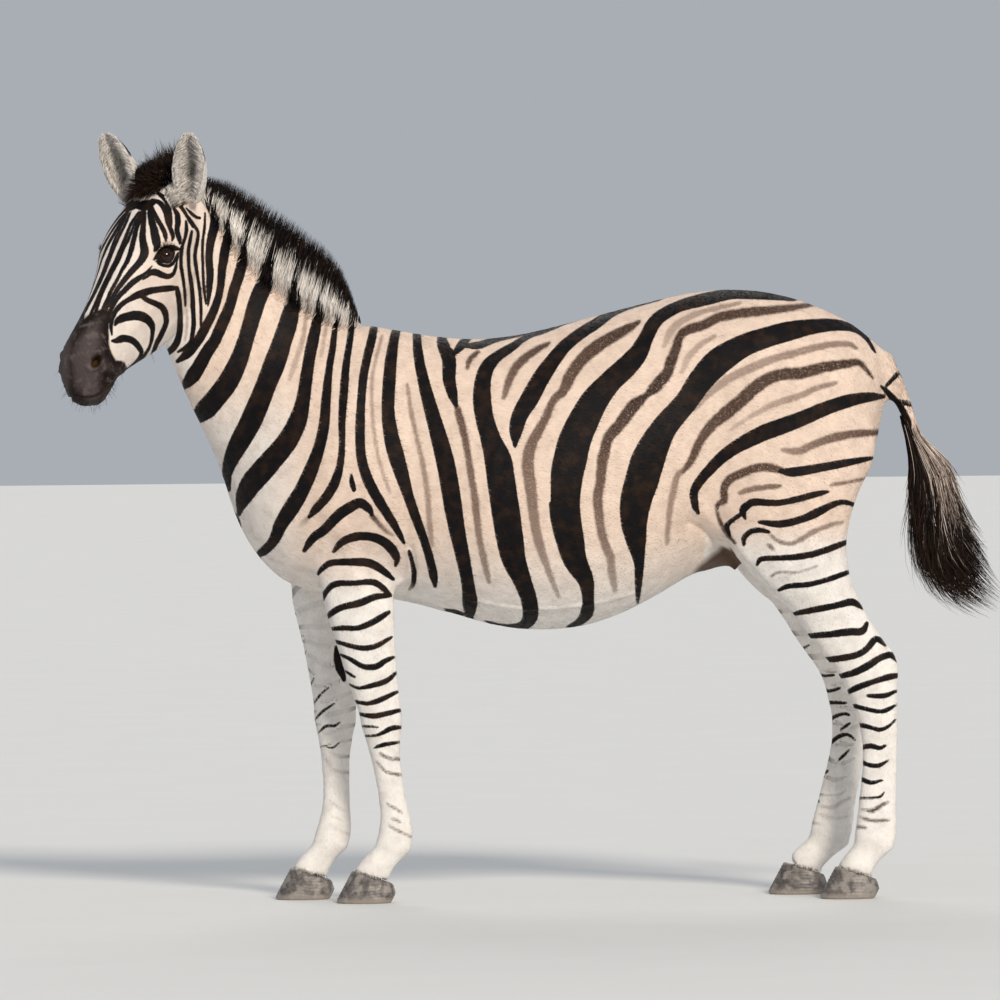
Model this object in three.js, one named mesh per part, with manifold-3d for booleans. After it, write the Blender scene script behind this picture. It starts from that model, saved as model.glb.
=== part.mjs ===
// A life-size plains zebra mare, standing, with the head turned a little to its left.
// Millimetres, +Z up. The zebra faces -X and its left side is towards -Y. The hooves stand on z = 0.
// Flesh is lofted whole, joined, and then parted into named pieces by thin cuts.
import * as THREE from "three";
import { mergeVertices } from "three/addons/utils/BufferGeometryUtils.js";
import Module from "manifold-3d";

const wasm = await Module();
wasm.setup();

// ---- driving dimensions -------------------------------------------------------------------
const GAP = 0.35; // between neighbouring pieces
const BODY_SIDES = 20;
const LEG_SIDES = 10;

const HEAD = {
  poll: new THREE.Vector3(-832, -95, 1623), // top of the skull, between the ears
  yaw: 54, // turned towards the zebra's left
  slope: 41, // of the face, from the vertical
  roll: 3, // leaning over on its right side
};
const EYE = { along: 182, side: 77, out: -63, radius: 21 }; // in the head's frame
const EAR = { along: 20, length: 156, width: 44, wall: 7, forward: 20 };
// Each ear is held its own way: root aside and out of the forehead, lean outwards, where its mouth looks.
const EARS = {
  left: { side: 1, aside: 86, out: -30, splay: 0.30, facing: 80 },
  right: { side: -1, aside: 78, out: -23, splay: 0.24, facing: 64 },
};
const HOOF = { ground: 134, groundWidth: 96, top: 92, topWidth: 76, front: 72, back: 42 };

// ---- shapes -------------------------------------------------------------------------------
const rad = THREE.MathUtils.degToRad;
const point = (x, y, z) => new THREE.Vector3(x, y, z);
const power = (v, p) => Math.sign(v) * Math.abs(v) ** p;

// Values of several columns at t in [0, 1] along the rows, on Catmull-Rom splines.
function between(rows, t) {
  const at = Math.min(t, 1 - 1e-9) * (rows.length - 1);
  const i = Math.floor(at);
  const f = at - i;
  const row = (k) => rows[Math.min(Math.max(k, 0), rows.length - 1)];
  return rows[0].map((_, c) => {
    const [a, b, d, e] = [i - 1, i, i + 1, i + 2].map((k) => row(k)[c]);
    return b + 0.5 * f * (d - a + f * (2 * a - 5 * b + 4 * d - e + f * (3 * (b - d) + e - a)));
  });
}

// A closed mesh through rings of equally many points, with a fan at each end.
function skinned(rings) {
  const n = rings[0].length;
  const ends = [rings[0], rings.at(-1)].map((ring) =>
    ring.reduce((sum, p) => sum.add(p), point(0, 0, 0)).divideScalar(n),
  );
  const places = [...rings.flat(), ...ends].flatMap((p) => [p.x, p.y, p.z]);
  const last = (rings.length - 1) * n;
  const first = rings.length * n;
  const faces = [];
  for (let j = 0; j < n; j++) {
    const k = (j + 1) % n;
    faces.push(first, k, j, first + 1, last + j, last + k);
    for (let r = 0; r < last; r += n) faces.push(r + j, r + k, r + n + k, r + j, r + n + k, r + n + j);
  }
  return new THREE.BufferGeometry()
    .setAttribute("position", new THREE.Float32BufferAttribute(places, 3))
    .setIndex(faces);
}

// One ring in the plane through top and low: two half superellipses that meet at the widest level.
function ring({ top, low, half, wide = 0.5, peak = 2, keel = 2, yaw = 0 }, sides) {
  const across = point(0, -1, 0).applyAxisAngle(point(0, 0, 1), rad(yaw));
  const middle = low.clone().lerp(top, wide);
  return Array.from({ length: sides }, (_, i) => {
    const a = (2 * Math.PI * i) / sides;
    const [c, s] = [Math.cos(a), Math.sin(a)];
    const [end, p] = c > 0 ? [top, peak] : [low, keel];
    return middle
      .clone()
      .addScaledVector(end.clone().sub(middle), Math.abs(c) ** (2 / p))
      .addScaledVector(across, half * power(s, 2 / p));
  });
}

// Rings square to a line of centres: each row is x y z, depth fore and aft, width across.
function hanging(rows, rings, sides) {
  const at = (i) => between(rows, i / (rings - 1));
  return skinned(
    Array.from({ length: rings }, (_, i) => {
      const [x, y, z, depth, width] = at(i);
      const [a, b] = [at(Math.max(i - 1, 0)), at(Math.min(i + 1, rings - 1))];
      const along = point(b[0] - a[0], 0, b[2] - a[2]).normalize();
      const forward = point(along.z, 0, -along.x).multiplyScalar(depth / 2);
      const centre = point(x, y, z);
      const ends = { top: centre.clone().add(forward), low: centre.clone().sub(forward) };
      return ring({ ...ends, half: width / 2, peak: 2.1 }, sides);
    }),
  );
}

// How far forms on a side, each a place u v, its two reaches and a height, move a point out sideways.
function swell(forms, u, v, sideways) {
  const height = forms.reduce(
    (sum, [atU, atV, reachU, reachV, most]) =>
      sum + most * Math.exp(-(((u - atU) / reachU) ** 2) - ((v - atV) / reachV) ** 2),
    0,
  );
  return height * Math.max(-1, Math.min(1, sideways / 40));
}

const pair = (make) => [make(-1), make(1)]; // for both sides

// The solid of a closed geometry.
function solid(geometry) {
  const g = geometry.clone();
  for (const name of Object.keys(g.attributes)) if (name !== "position") g.deleteAttribute(name);
  const merged = mergeVertices(g, 1e-3);
  const made = new wasm.Manifold(
    new wasm.Mesh({
      numProp: 3,
      vertProperties: merged.getAttribute("position").array,
      triVerts: new Uint32Array(merged.index.array),
    }),
  );
  if (made.volume() >= 0) return made;
  const index = merged.index.array;
  for (let i = 0; i < index.length; i += 3) [index[i + 1], index[i + 2]] = [index[i + 2], index[i + 1]];
  return solid(merged);
}

function geometryOf(made) {
  const { numProp, numVert, vertProperties, triVerts } = made.getMesh();
  const places = new Float32Array(numVert * 3);
  for (let i = 0; i < numVert; i++) {
    const start = i * numProp;
    places.set(vertProperties.subarray(start, start + 3), i * 3);
  }
  return new THREE.BufferGeometry()
    .setAttribute("position", new THREE.BufferAttribute(places, 3))
    .setIndex(new THREE.BufferAttribute(triVerts, 1));
}

const union = (solids) => solids.reduce((a, b) => a.add(b));

// An ellipsoid in a frame: centre and radii along that frame's axes.
function ellipsoid(centre, radii, frame = new THREE.Matrix4(), tilt = 0, detail = 10) {
  const g = new THREE.SphereGeometry(1, detail, Math.round(detail * 0.7));
  g.scale(...radii).rotateY(rad(tilt)).translate(...centre);
  return solid(g.applyMatrix4(frame));
}

// A box between two corners of a frame, grown all round, turned by tilt degrees about Y at a pivot.
function block({ low, high, tilt = 0, pivot = [0, 0, 0], frame = new THREE.Matrix4() }, grow) {
  const size = low.map((v, i) => high[i] - v + 2 * grow);
  const g = new THREE.BoxGeometry(...size);
  g.translate(...low.map((v, i) => (v + high[i]) / 2 - pivot[i]));
  g.rotateY(rad(tilt)).translate(...pivot);
  return solid(g.applyMatrix4(frame));
}

// ---- trunk and neck -----------------------------------------------------------------------
// Each row: top x z, low x z, half-width, y, yaw, widest level, roundness above and below it.
const TRUNK_ROWS = [
  [784, 1206, 788, 1110, 44, 0, 0, 0.5, 2, 2],
  [772, 1238, 780, 1040, 84, 0, 0, 0.55, 2, 2],
  [748, 1264, 752, 950, 126, 0, 0, 0.6, 1.9, 1.8],
  [699, 1299, 699, 850, 168, 0, 0, 0.6, 1.9, 1.6],
  [598, 1343, 598, 776, 204, 0, 0, 0.62, 1.9, 1.5],
  [486, 1366, 486, 750, 224, 0, 0, 0.6, 1.9, 1.6],
  [374, 1363, 374, 728, 236, 0, 0, 0.56, 1.9, 1.8],
  [262, 1340, 262, 665, 252, 0, 0, 0.5, 1.95, 2],
  [150, 1312, 150, 615, 266, 0, 0, 0.48, 1.95, 2.1],
  [38, 1284, 38, 598, 272, 0, 0, 0.47, 1.95, 2.1],
  [-74, 1262, -74, 606, 268, 0, 0, 0.47, 1.95, 2.1],
  [-186, 1264, -186, 639, 250, 0, 0, 0.48, 1.9, 2],
  [-280, 1280, -280, 666, 228, 0, 0, 0.48, 1.8, 1.9],
  [-350, 1295, -366, 678, 208, 0, 0, 0.48, 1.7, 1.8],
  [-396, 1301, -462, 681, 196, 0, 0, 0.48, 1.65, 1.8],
  [-424, 1304, -560, 712, 180, 0, 0, 0.48, 1.65, 1.9],
  [-446, 1312, -625, 775, 162, 0, 0, 0.46, 1.65, 2],
  [-470, 1324, -670, 860, 140, 0, 0, 0.44, 1.65, 2],
];
const NECK_ROWS = [
  [-490, 1338, -693, 935, 122, 0, 2, 0.44, 1.65, 2],
  [-520, 1360, -715, 996, 106, -2, 5, 0.44, 1.65, 2],
  [-567, 1400, -746, 1063, 92, -8, 9, 0.45, 1.65, 2],
  [-618, 1445, -773, 1120, 82, -20, 15, 0.46, 1.65, 2],
  [-665, 1497, -793, 1176, 74, -36, 22, 0.48, 1.7, 2],
  [-706, 1551, -808, 1228, 68, -54, 29, 0.5, 1.8, 2],
  [-748, 1592, -826, 1290, 62, -70, 34, 0.5, 1.9, 2],
];

// Muscles and hollows on both sides of the body: x, z, reach along x, reach along z, height.
const BODY_FORMS = [
  [-425, 1030, 85, 190, 15], // shoulder blade
  [-372, 850, 95, 110, 22], // triceps
  [-560, 850, 75, 100, 16], // breast
  [-235, 930, 70, 220, -10], // behind the shoulder
  [-640, 1130, 45, 120, -5], // groove of the neck
  [470, 1240, 90, 60, 12], // point of the hip
  [350, 1150, 90, 90, -14], // flank
  [640, 1010, 110, 150, 12], // thigh
];

function lofted(rows, rings, sides) {
  return solid(
    skinned(
      Array.from({ length: rings }, (_, i) => {
        const [tx, tz, lx, lz, half, y, yaw, wide, peak, keel] = between(rows, i / (rings - 1));
        const ends = { top: point(tx, y, tz), low: point(lx, y, lz) };
        return ring({ ...ends, half, wide, peak, keel, yaw }, sides).map((p) =>
          p.add(point(0, swell(BODY_FORMS, p.x, p.z, p.y - y), 0)),
        );
      }),
    ),
  );
}

const torso = lofted([...TRUNK_ROWS, ...NECK_ROWS], 36, BODY_SIDES);

// ---- legs ---------------------------------------------------------------------------------
// Depth fore and aft and width across, at each joint or muscle from the body down into the hoof.
const FORE_PROFILE = [
  [170, 90],
  [178, 106],
  [140, 88],
  [118, 76],
  [102, 70],
  [101, 80],
  [74, 60],
  [66, 46],
  [72, 48],
  [92, 64],
  [66, 56],
  [88, 70],
  [90, 72],
];
const HIND_PROFILE = [
  [150, 60],
  [390, 140],
  [425, 185],
  [356, 190],
  [250, 168],
  [205, 145],
  [160, 116],
  [148, 94],
  [140, 80],
  [136, 74],
  [128, 84],
  [94, 64],
  [86, 53],
  [87, 50],
  [91, 50],
  [95, 54],
  [104, 67],
  [70, 58],
  [88, 71],
  [90, 72],
];
// Each leg's own centres, x y z, from the body down to the coronet and into the hoof.
const LEGS = {
  front_left: [
    [-405, -112, 809],
    [-399, -108, 730],
    [-376, -102, 585],
    [-361, -98, 495],
    [-348, -96, 439],
    [-343, -95, 401],
    [-337, -94, 338],
    [-325, -93, 259],
    [-316, -92, 192],
    [-314, -91, 140],
    [-343, -91, 98],
    [-367, -91, 68],
    [-376, -91, 36],
  ],
  front_right: [
    [-470, 112, 809],
    [-470, 108, 730],
    [-456, 102, 585],
    [-451, 98, 495],
    [-450, 96, 435],
    [-449, 95, 397],
    [-450, 94, 338],
    [-449, 93, 259],
    [-450, 92, 192],
    [-457, 91, 140],
    [-483, 91, 100],
    [-507, 91, 68],
    [-516, 91, 36],
  ],
  hind_left: [
    [610, -84, 1235],
    [576, -112, 1112],
    [564, -122, 1000],
    [558, -128, 889],
    [589, -126, 774],
    [612, -122, 729],
    [638, -116, 682],
    [665, -112, 630],
    [692, -108, 587],
    [726, -106, 540],
    [748, -105, 492],
    [765, -105, 396],
    [768, -105, 335],
    [767, -105, 282],
    [762, -105, 221],
    [759, -105, 179],
    [756, -105, 132],
    [732, -105, 96],
    [712, -105, 68],
    [703, -105, 36],
  ],
  hind_right: [
    [604, 84, 1235],
    [570, 112, 1112],
    [554, 122, 1000],
    [545, 128, 889],
    [569, 126, 774],
    [589, 122, 729],
    [612, 116, 682],
    [636, 112, 630],
    [660, 108, 587],
    [690, 106, 540],
    [708, 105, 492],
    [712, 105, 396],
    [705, 105, 335],
    [694, 105, 282],
    [680, 105, 221],
    [671, 105, 179],
    [662, 105, 132],
    [634, 105, 98],
    [602, 105, 68],
    [593, 105, 36],
  ],
};

function legOf(name) {
  const profile = name.startsWith("hind") ? HIND_PROFILE : FORE_PROFILE;
  const rows = LEGS[name].map((centre, i) => [...centre, ...profile[i]]);
  return hanging(rows, Math.round(rows.length * 1.35), LEG_SIDES);
}

// The point of the hock, behind the joint of a hind leg.
function hockPoint(name) {
  const [x, y, z] = LEGS[name][10];
  return ellipsoid([x + 38, y, z + 26], [28, 24, 56], undefined, -12);
}

const legs = union([
  ...Object.keys(LEGS).map((name) => solid(legOf(name))),
  ...["hind_left", "hind_right"].map(hockPoint),
]);

// ---- head ---------------------------------------------------------------------------------
// The head's frame: X down the face, Y to its left, Z out of the forehead; its origin is the poll.
function headFrame() {
  const slope = rad(HEAD.slope);
  const yaw = rad(HEAD.yaw);
  const face = point(-Math.sin(slope), 0, -Math.cos(slope));
  const left = point(0, -1, 0);
  for (const v of [face, left]) v.applyAxisAngle(point(0, 0, 1), yaw);
  left.applyAxisAngle(face, rad(HEAD.roll));
  const out = face.clone().cross(left);
  return new THREE.Matrix4().makeBasis(face, left, out).setPosition(HEAD.poll);
}
const IN_HEAD = headFrame();

// Each row: along the face, forehead or nose level, jaw level, half-width, widest level,
// roundness above it and below it.
const HEAD_ROWS = [
  [-30, -38, -160, 46, 0.5, 2.2, 2],
  [4, -9, -190, 66, 0.55, 2.4, 2],
  [50, 7, -220, 82, 0.62, 2.5, 1.7],
  [100, 12, -241, 91, 0.66, 2.6, 1.55],
  [150, 12, -256, 94, 0.68, 2.6, 1.5],
  [205, 8, -262, 87, 0.68, 2.6, 1.5],
  [255, 3, -254, 74, 0.66, 2.5, 1.6],
  [305, 0, -236, 62, 0.64, 2.4, 1.7],
  [355, -2, -210, 54, 0.6, 2.3, 1.8],
  [405, -3, -182, 50, 0.56, 2.3, 2],
  [450, -4, -162, 52, 0.54, 2.3, 2.1],
  [492, -12, -153, 55, 0.54, 2.3, 2.2],
  [528, -34, -147, 50, 0.52, 2.2, 2.2],
  [555, -62, -134, 34, 0.5, 2.1, 2.1],
  [566, -82, -118, 16, 0.5, 2, 2],
];

// Forms on both sides of the head: along the face, out of it, reach along, reach out, height.
const HEAD_FORMS = [
  [176, -158, 88, 82, 13], // cheek
  [170, -46, 52, 30, 11], // brow
  [104, -22, 30, 26, -6], // hollow over the eye
  [290, -104, 96, 20, 7], // crest of the cheek bone
  [370, -70, 60, 40, -5], // behind the nostril
  [488, -58, 34, 30, 9], // nostril's wing
];

function skull(rings, sides) {
  return solid(
    skinned(
      Array.from({ length: rings }, (_, i) => {
        const [along, high, jaw, half, wide, peak, keel] = between(HEAD_ROWS, i / (rings - 1));
        const ends = { top: point(along, 0, high), low: point(along, 0, jaw) };
        return ring({ ...ends, half, wide, peak, keel }, sides).map((p) =>
          p.add(point(0, swell(HEAD_FORMS, p.x, p.z, p.y), 0)),
        );
      }),
    ).applyMatrix4(IN_HEAD),
  );
}

const inHead = (centre, radii, tilt = 0, detail = 10) => ellipsoid(centre, radii, IN_HEAD, tilt, detail);
const upperLip = inHead([520, 0, -92], [40, 47, 46], 0, 12);
const chin = inHead([512, 0, -134], [36, 26, 27]);
const earRoot = (side) => inHead([22, side * 66, -30], [36, 28, 34]);
const nostril = (side) => inHead([499, side * 55, -46], [18, 21, 10], -12);

function eyeball(side, radius) {
  return inHead([EYE.along, side * EYE.side, EYE.out], [radius, radius, radius], 0, 12);
}

// The opening between the lids, in front of the eyeball.
function lidOpening(side) {
  return inHead([EYE.along, side * (EYE.side + 26), EYE.out], [19, 17, 13]);
}

const head = union([skull(26, 18), upperLip, chin, ...pair(earRoot)])
  .subtract(union(pair(lidOpening)))
  .subtract(union(pair((side) => eyeball(side, EYE.radius + GAP))))
  .subtract(union(pair(nostril)));

// An ear's frame: Z along it, X out of its opening. Its mouth looks towards `facing`, from -X to -Y.
function earFrame({ side, aside, out, splay, facing }) {
  const yaw = rad(HEAD.yaw);
  const ahead = point(-Math.cos(yaw), -Math.sin(yaw), 0);
  const left = point(Math.sin(yaw), -Math.cos(yaw), 0);
  const axis = point(0, 0, 1)
    .addScaledVector(ahead, Math.tan(rad(EAR.forward)))
    .addScaledVector(left, side * splay)
    .normalize();
  const open = point(-Math.cos(rad(facing)), -Math.sin(rad(facing)), 0);
  open.addScaledVector(axis, -open.dot(axis)).normalize();
  const root = point(EAR.along, side * aside, out).applyMatrix4(IN_HEAD);
  return new THREE.Matrix4().makeBasis(open, axis.clone().cross(open), axis).setPosition(root);
}

// A leaf rolled into a cup: nearly a tube at its foot, open and pointed at its tip.
function ear(frame) {
  const rings = 10;
  const half = 7;
  return solid(
    skinned(
      Array.from({ length: rings }, (_, i) => {
        const u = Math.sin((Math.PI / 2) * (i / (rings - 1)));
        const swell = 0.6 + 0.4 * Math.sin((Math.PI / 2) * Math.min(u / 0.5, 1));
        const width = Math.max(EAR.width * swell * Math.sqrt(1 - u ** 3.2), 2);
        const turn = 150 - 66 * u; // how far the leaf is rolled round, each way
        const round = width / Math.sin(rad(Math.min(turn, 90)));
        const wall = Math.min(EAR.wall, width * 0.45);
        const arc = (radius) =>
          Array.from({ length: half }, (_, j) => {
            const a = rad(turn) * ((2 * j) / (half - 1) - 1);
            const back = radius * Math.cos(a) * (1 - 0.4 * u);
            return point(12 * u - back, radius * Math.sin(a), (EAR.length + 24) * u - 24);
          });
        return [...arc(round), ...arc(Math.max(round - wall, 1)).reverse()];
      }),
    ).applyMatrix4(frame),
  );
}
const EAR_FRAMES = Object.fromEntries(Object.entries(EARS).map(([name, way]) => [name, earFrame(way)]));

// ---- tail, udder, mane, hooves ------------------------------------------------------------
// Rows down a hanging shape: centre x y z, depth fore and aft, width across.
const DOCK_ROWS = [
  [735, 0, 1232, 60, 64],
  [780, 0, 1200, 62, 60],
  [812, -3, 1140, 50, 50],
  [834, -6, 1085, 44, 42],
  [856, -9, 1020, 36, 34],
  [880, -11, 950, 30, 28],
];
const TUFT_ROWS = [
  [856, -9, 1020, 30, 28],
  [888, -12, 945, 84, 44],
  [900, -14, 880, 92, 58],
  [916, -16, 800, 98, 66],
  [948, -18, 730, 92, 62],
  [992, -20, 680, 64, 44],
  [1040, -22, 652, 20, 18],
];

const udder = union([
  ellipsoid([430, 0, 778], [78, 62, 40]),
  ...pair((side) => ellipsoid([452, side * 24, 752], [13, 12, 26], undefined, 10)), // teats
]);

// Rows along the mane: crest of hair x z, root x z, y, thickness at the root.
const MANE_ROWS = [
  [-878, 1648, -868, 1575, -116, 30],
  [-846, 1668, -838, 1585, -102, 36],
  [-800, 1662, -790, 1580, -84, 40],
  [-745, 1632, -728, 1560, -66, 42],
  [-676, 1618, -676, 1488, -40, 44],
  [-614, 1584, -627, 1424, -22, 46],
  [-547, 1538, -571, 1374, -9, 46],
  [-502, 1502, -520, 1334, -3, 46],
  [-457, 1464, -476, 1302, 0, 46],
  [-424, 1420, -440, 1280, 0, 44],
  [-404, 1372, -410, 1278, 0, 38],
  [-384, 1310, -386, 1280, 0, 20],
];

function mane(grow) {
  const rings = 20;
  return solid(
    skinned(
      Array.from({ length: rings }, (_, i) => {
        const [hx, hz, rx, rz, y, thick] = between(MANE_ROWS, i / (rings - 1));
        const yaw = Math.max(0, (-rx - 560) / 9);
        const reach = i === 0 ? -2 * grow : i === rings - 1 ? 2 * grow : 0;
        const ends = { top: point(hx + reach, y, hz + grow), low: point(rx + reach, y, rz - grow) };
        return ring({ ...ends, half: thick / 2 + grow, wide: 0.35, peak: 1.5, keel: 3, yaw }, 10);
      }),
    ),
  );
}

// A hoof under the coronet at x, y: a slanted top, a longer foot, and a flat sole on the ground.
function hoof(x, y, grow) {
  const level = (front, back, high, low, width) => {
    const ends = { top: point(front - grow, y, high), low: point(back + grow, y, low) };
    return ring({ ...ends, half: width / 2 + grow, wide: 0.52, peak: 2.1, keel: 2.5 }, 16);
  };
  const { ground, groundWidth, top, topWidth, front, back } = HOOF;
  const toe = x - top / 2 - 36;
  const heel = toe + ground;
  return solid(
    skinned([
      level(toe + 4, heel - 12, 0, 0, groundWidth - 8),
      level(toe, heel - 8, 5, 5, groundWidth),
      level(toe + 12, heel, 28, 22, groundWidth - 6),
      level(x - top / 2, x + top / 2, front + grow, back + grow, topWidth),
    ]),
  );
}

// ---- parting the flesh --------------------------------------------------------------------
const HOOVES = Object.fromEntries(
  Object.entries(LEGS).map(([name, centres]) => {
    const [x, y] = centres.at(-2);
    return [name, [x, y]];
  }),
);

let flesh = union([
  torso,
  legs,
  head,
  udder,
  solid(hanging(DOCK_ROWS, 10, 10)),
  solid(hanging(TUFT_ROWS, 13, 12)),
  ...Object.values(EAR_FRAMES).map(ear),
])
  .subtract(mane(GAP))
  .subtract(union(Object.values(HOOVES).map(([x, y]) => hoof(x, y, GAP))))
  .subtract(block({ low: [-2000, -2000, -100], high: [2000, 2000, 2] }, 0));

// Takes what lies in all of the given boxes off the flesh, and leaves a thin gap beside it.
function carve(...boxes) {
  const region = (grow) => boxes.map((box) => block(box, grow)).reduce((a, b) => a.intersect(b));
  const piece = flesh.intersect(region(0));
  flesh = flesh.subtract(region(GAP));
  return piece;
}

// The same box on the other side of the middle plane.
function onSide(side, box) {
  if (side > 0) return box;
  const [lowX, lowY, lowZ] = box.low;
  const [highX, highY, highZ] = box.high;
  return { ...box, low: [lowX, -highY, lowZ], high: [highX, -lowY, highZ] };
}

const material = (color, roughness) => new THREE.MeshStandardMaterial({ color, roughness });
const MATERIALS = {
  coat: material(0xe9ddd0, 0.85),
  hair: material(0x2a1c16, 0.8),
  horn: material(0x4a4541, 0.55),
  eye: material(0x1c0f0a, 0.12),
  skin: material(0x3a2a24, 0.6),
};

const zebra = new THREE.Group();
zebra.name = "zebra";
function add(name, made, kind) {
  const mesh = new THREE.Mesh(geometryOf(made), MATERIALS[kind].clone());
  mesh.name = name;
  zebra.add(mesh);
}

for (const [side, frame] of Object.entries(EAR_FRAMES))
  add(`ear_${side}`, carve({ low: [-90, -90, 36], high: [120, 90, 260], frame }), "coat");
for (const [name, side] of [["left", 1], ["right", -1]])
  add(`eye_${name}`, eyeball(side, EYE.radius), "eye");
add(
  "head",
  carve({ low: [-70, -400, -700], high: [900, 400, 400], tilt: -53, pivot: [-70, 0, -70], frame: IN_HEAD }),
  "coat",
);
for (const [name, side] of [["left", -1], ["right", 1]]) {
  add(`leg_front_${name}`, carve(onSide(side, { low: [-700, 45, -20], high: [-250, 400, 745] })), "coat");
  add(
    `leg_hind_${name}`,
    carve(
      onSide(side, { low: [-200, 50, -600], high: [1200, 400, 828], tilt: -24.4, pivot: [374, 0, 828] }),
      onSide(side, { low: [372, 50, -20], high: [1000, 400, 1200] }),
    ),
    "coat",
  );
}
add("tail_tuft", carve({ low: [780, -200, 500], high: [1200, 200, 985] }), "hair");
add(
  "tail_dock",
  carve({ low: [793, -200, 900], high: [1200, 200, 1400], tilt: -14, pivot: [793, 0, 1190] }),
  "coat",
);
add("udder", carve({ low: [340, -49, 600], high: [520, 49, 800] }), "skin");
add(
  "neck",
  carve({ low: [-1600, -500, 600], high: [-430, 500, 1900], tilt: 32, pivot: [-430, 0, 1300] }),
  "coat",
);
add("trunk", flesh, "coat");
add("mane", mane(0), "hair");
for (const [name, [x, y]] of Object.entries(HOOVES)) add(`hoof_${name}`, hoof(x, y, 0), "horn");

const whole = new THREE.Box3().setFromObject(zebra);
zebra.position.set(-(whole.min.x + whole.max.x) / 2, -(whole.min.y + whole.max.y) / 2, -whole.min.z);
zebra.updateMatrixWorld(true);

export default zebra;
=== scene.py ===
import math

import bmesh
import bpy
import numpy as np
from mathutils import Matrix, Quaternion, Vector


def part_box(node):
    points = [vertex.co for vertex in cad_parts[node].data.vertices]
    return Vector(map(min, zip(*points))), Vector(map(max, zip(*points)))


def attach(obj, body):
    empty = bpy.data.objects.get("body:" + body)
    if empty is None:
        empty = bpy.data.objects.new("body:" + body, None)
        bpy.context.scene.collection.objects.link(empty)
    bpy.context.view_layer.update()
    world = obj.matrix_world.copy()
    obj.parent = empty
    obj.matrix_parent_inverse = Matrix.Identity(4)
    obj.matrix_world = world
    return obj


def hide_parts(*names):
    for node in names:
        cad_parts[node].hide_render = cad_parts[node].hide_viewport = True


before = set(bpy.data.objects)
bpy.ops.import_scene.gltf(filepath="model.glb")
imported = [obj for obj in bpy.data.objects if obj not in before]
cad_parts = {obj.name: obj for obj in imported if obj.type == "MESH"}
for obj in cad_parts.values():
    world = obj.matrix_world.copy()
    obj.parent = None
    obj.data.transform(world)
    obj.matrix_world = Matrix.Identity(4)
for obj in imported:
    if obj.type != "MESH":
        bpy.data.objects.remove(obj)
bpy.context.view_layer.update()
rng = np.random.default_rng(7)

# ---- driving dimensions: metres, in the zebra's own frame, facing -X with its left side to -Y ----
POLL = np.array([-0.832, -0.095, 1.623])
HEAD_YAW, HEAD_SLOPE, HEAD_ROLL = math.radians(54), math.radians(41), math.radians(3)
EYE = np.array([0.182, 0.077, -0.063])  # down the face, to its left, out of the forehead
EYE_RADIUS = 0.021
NOSTRIL = np.array([0.499, 0.055, -0.046])
VOXEL, HOOF_VOXEL = 0.0052, 0.0022
NODE_SWELL = 0.0006  # so that the nodes meet across the gaps between them
SOFTENING_ROUNDS = 260
KEPT_FIRM = (0.88, 0.96, 0.90, 0.94)  # how far legs, head, ears and tail are kept from the softening
FINE_EYE, FINE_NOSTRIL = 0.044, 0.036  # radii where the skin's faces are divided once more
COAT_DEPTH = 0.0022  # how far the skin lies inside the CAD solids
SIDES = {1: "left", -1: "right"}

FLESH = ["trunk", "neck", "head", "ear_left", "ear_right", "tail_dock", "udder",
         "leg_front_left", "leg_front_right", "leg_hind_left", "leg_hind_right"]
HOOVES = ["hoof_front_left", "hoof_front_right", "hoof_hind_left", "hoof_hind_right"]

# The side view from the camera, on which the markings are drawn.
VIEW_CENTRE = np.array([-0.0739, 0, 0.895])
VIEW_DISTANCE = 24
VIEW_WIDTH = 2.24
VIEW_DOWN = math.radians(1)
VIEW_ROLL = 0.0104
CHART = 1000  # the chart's units across the view
MM_PER_UNIT = 1000 * VIEW_WIDTH / CHART


# ---- frames --------------------------------------------------------------------------------
def turned(v, axis, angle):
    return np.array(Quaternion(Vector(axis), angle) @ Vector(v))


def head_axes():
    """Down the face, to its left and out of the forehead, as rows."""
    face = [-math.sin(HEAD_SLOPE), 0, -math.cos(HEAD_SLOPE)]
    face = turned(face, (0, 0, 1), HEAD_YAW)
    left = turned([0, -1, 0], (0, 0, 1), HEAD_YAW)
    left = turned(left, face, HEAD_ROLL)
    return np.array([face, left, np.cross(face, left)])


HEAD_AXES = head_axes()


def to_head(p):
    return (p - POLL) @ HEAD_AXES.T


def from_head(q):
    return np.asarray(q, float) @ HEAD_AXES + POLL


def on_side(q, side):
    return np.array([q[0], side * q[1], q[2]])


def box_centre(node):
    low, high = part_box(node)
    return np.array((low + high) / 2)


# From the zebra's own frame to the row's frame.
SHIFT = box_centre("eye_left") - from_head(EYE)


def smoothstep(low, high, x):
    t = np.clip((x - low) / (high - low), 0, 1)
    return t * t * (3 - 2 * t)


def unit(v):
    v = np.asarray(v, float)
    return v / np.maximum(np.linalg.norm(v, axis=-1, keepdims=True), 1e-9)


def mix(a, b, t):
    return a + (b - a) * t


def bell(x, middle, width):
    """1 at the middle, falling to nothing a few widths away."""
    return np.exp(-((x - middle) / width) ** 2)


def through(knots, steps):
    """A smooth curve through rows of numbers (Catmull-Rom), with `steps` points from each row to the next."""
    k = np.asarray(knots, float)
    k = np.vstack([2 * k[0] - k[1], k, 2 * k[-1] - k[-2]])
    t = np.linspace(0, 1, steps, endpoint=False)[:, None]
    rows = []
    for a, b, c, d in zip(k, k[1:], k[2:], k[3:]):
        cubic = 3 * (b - c) + d - a
        square = 2 * a - 5 * b + 4 * c - d
        rows.append(b + 0.5 * t * (c - a + t * (square + t * cubic)))
    return np.vstack(rows + [k[-2:-1]])


def along(knots, at, t):
    """Each column of the knots, by straight lines between their first column `at`."""
    k = np.asarray(knots, float)
    order = np.argsort(k[:, at])
    return np.stack([np.interp(t, k[order, at], k[order, i]) for i in range(k.shape[1])], -1)


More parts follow.
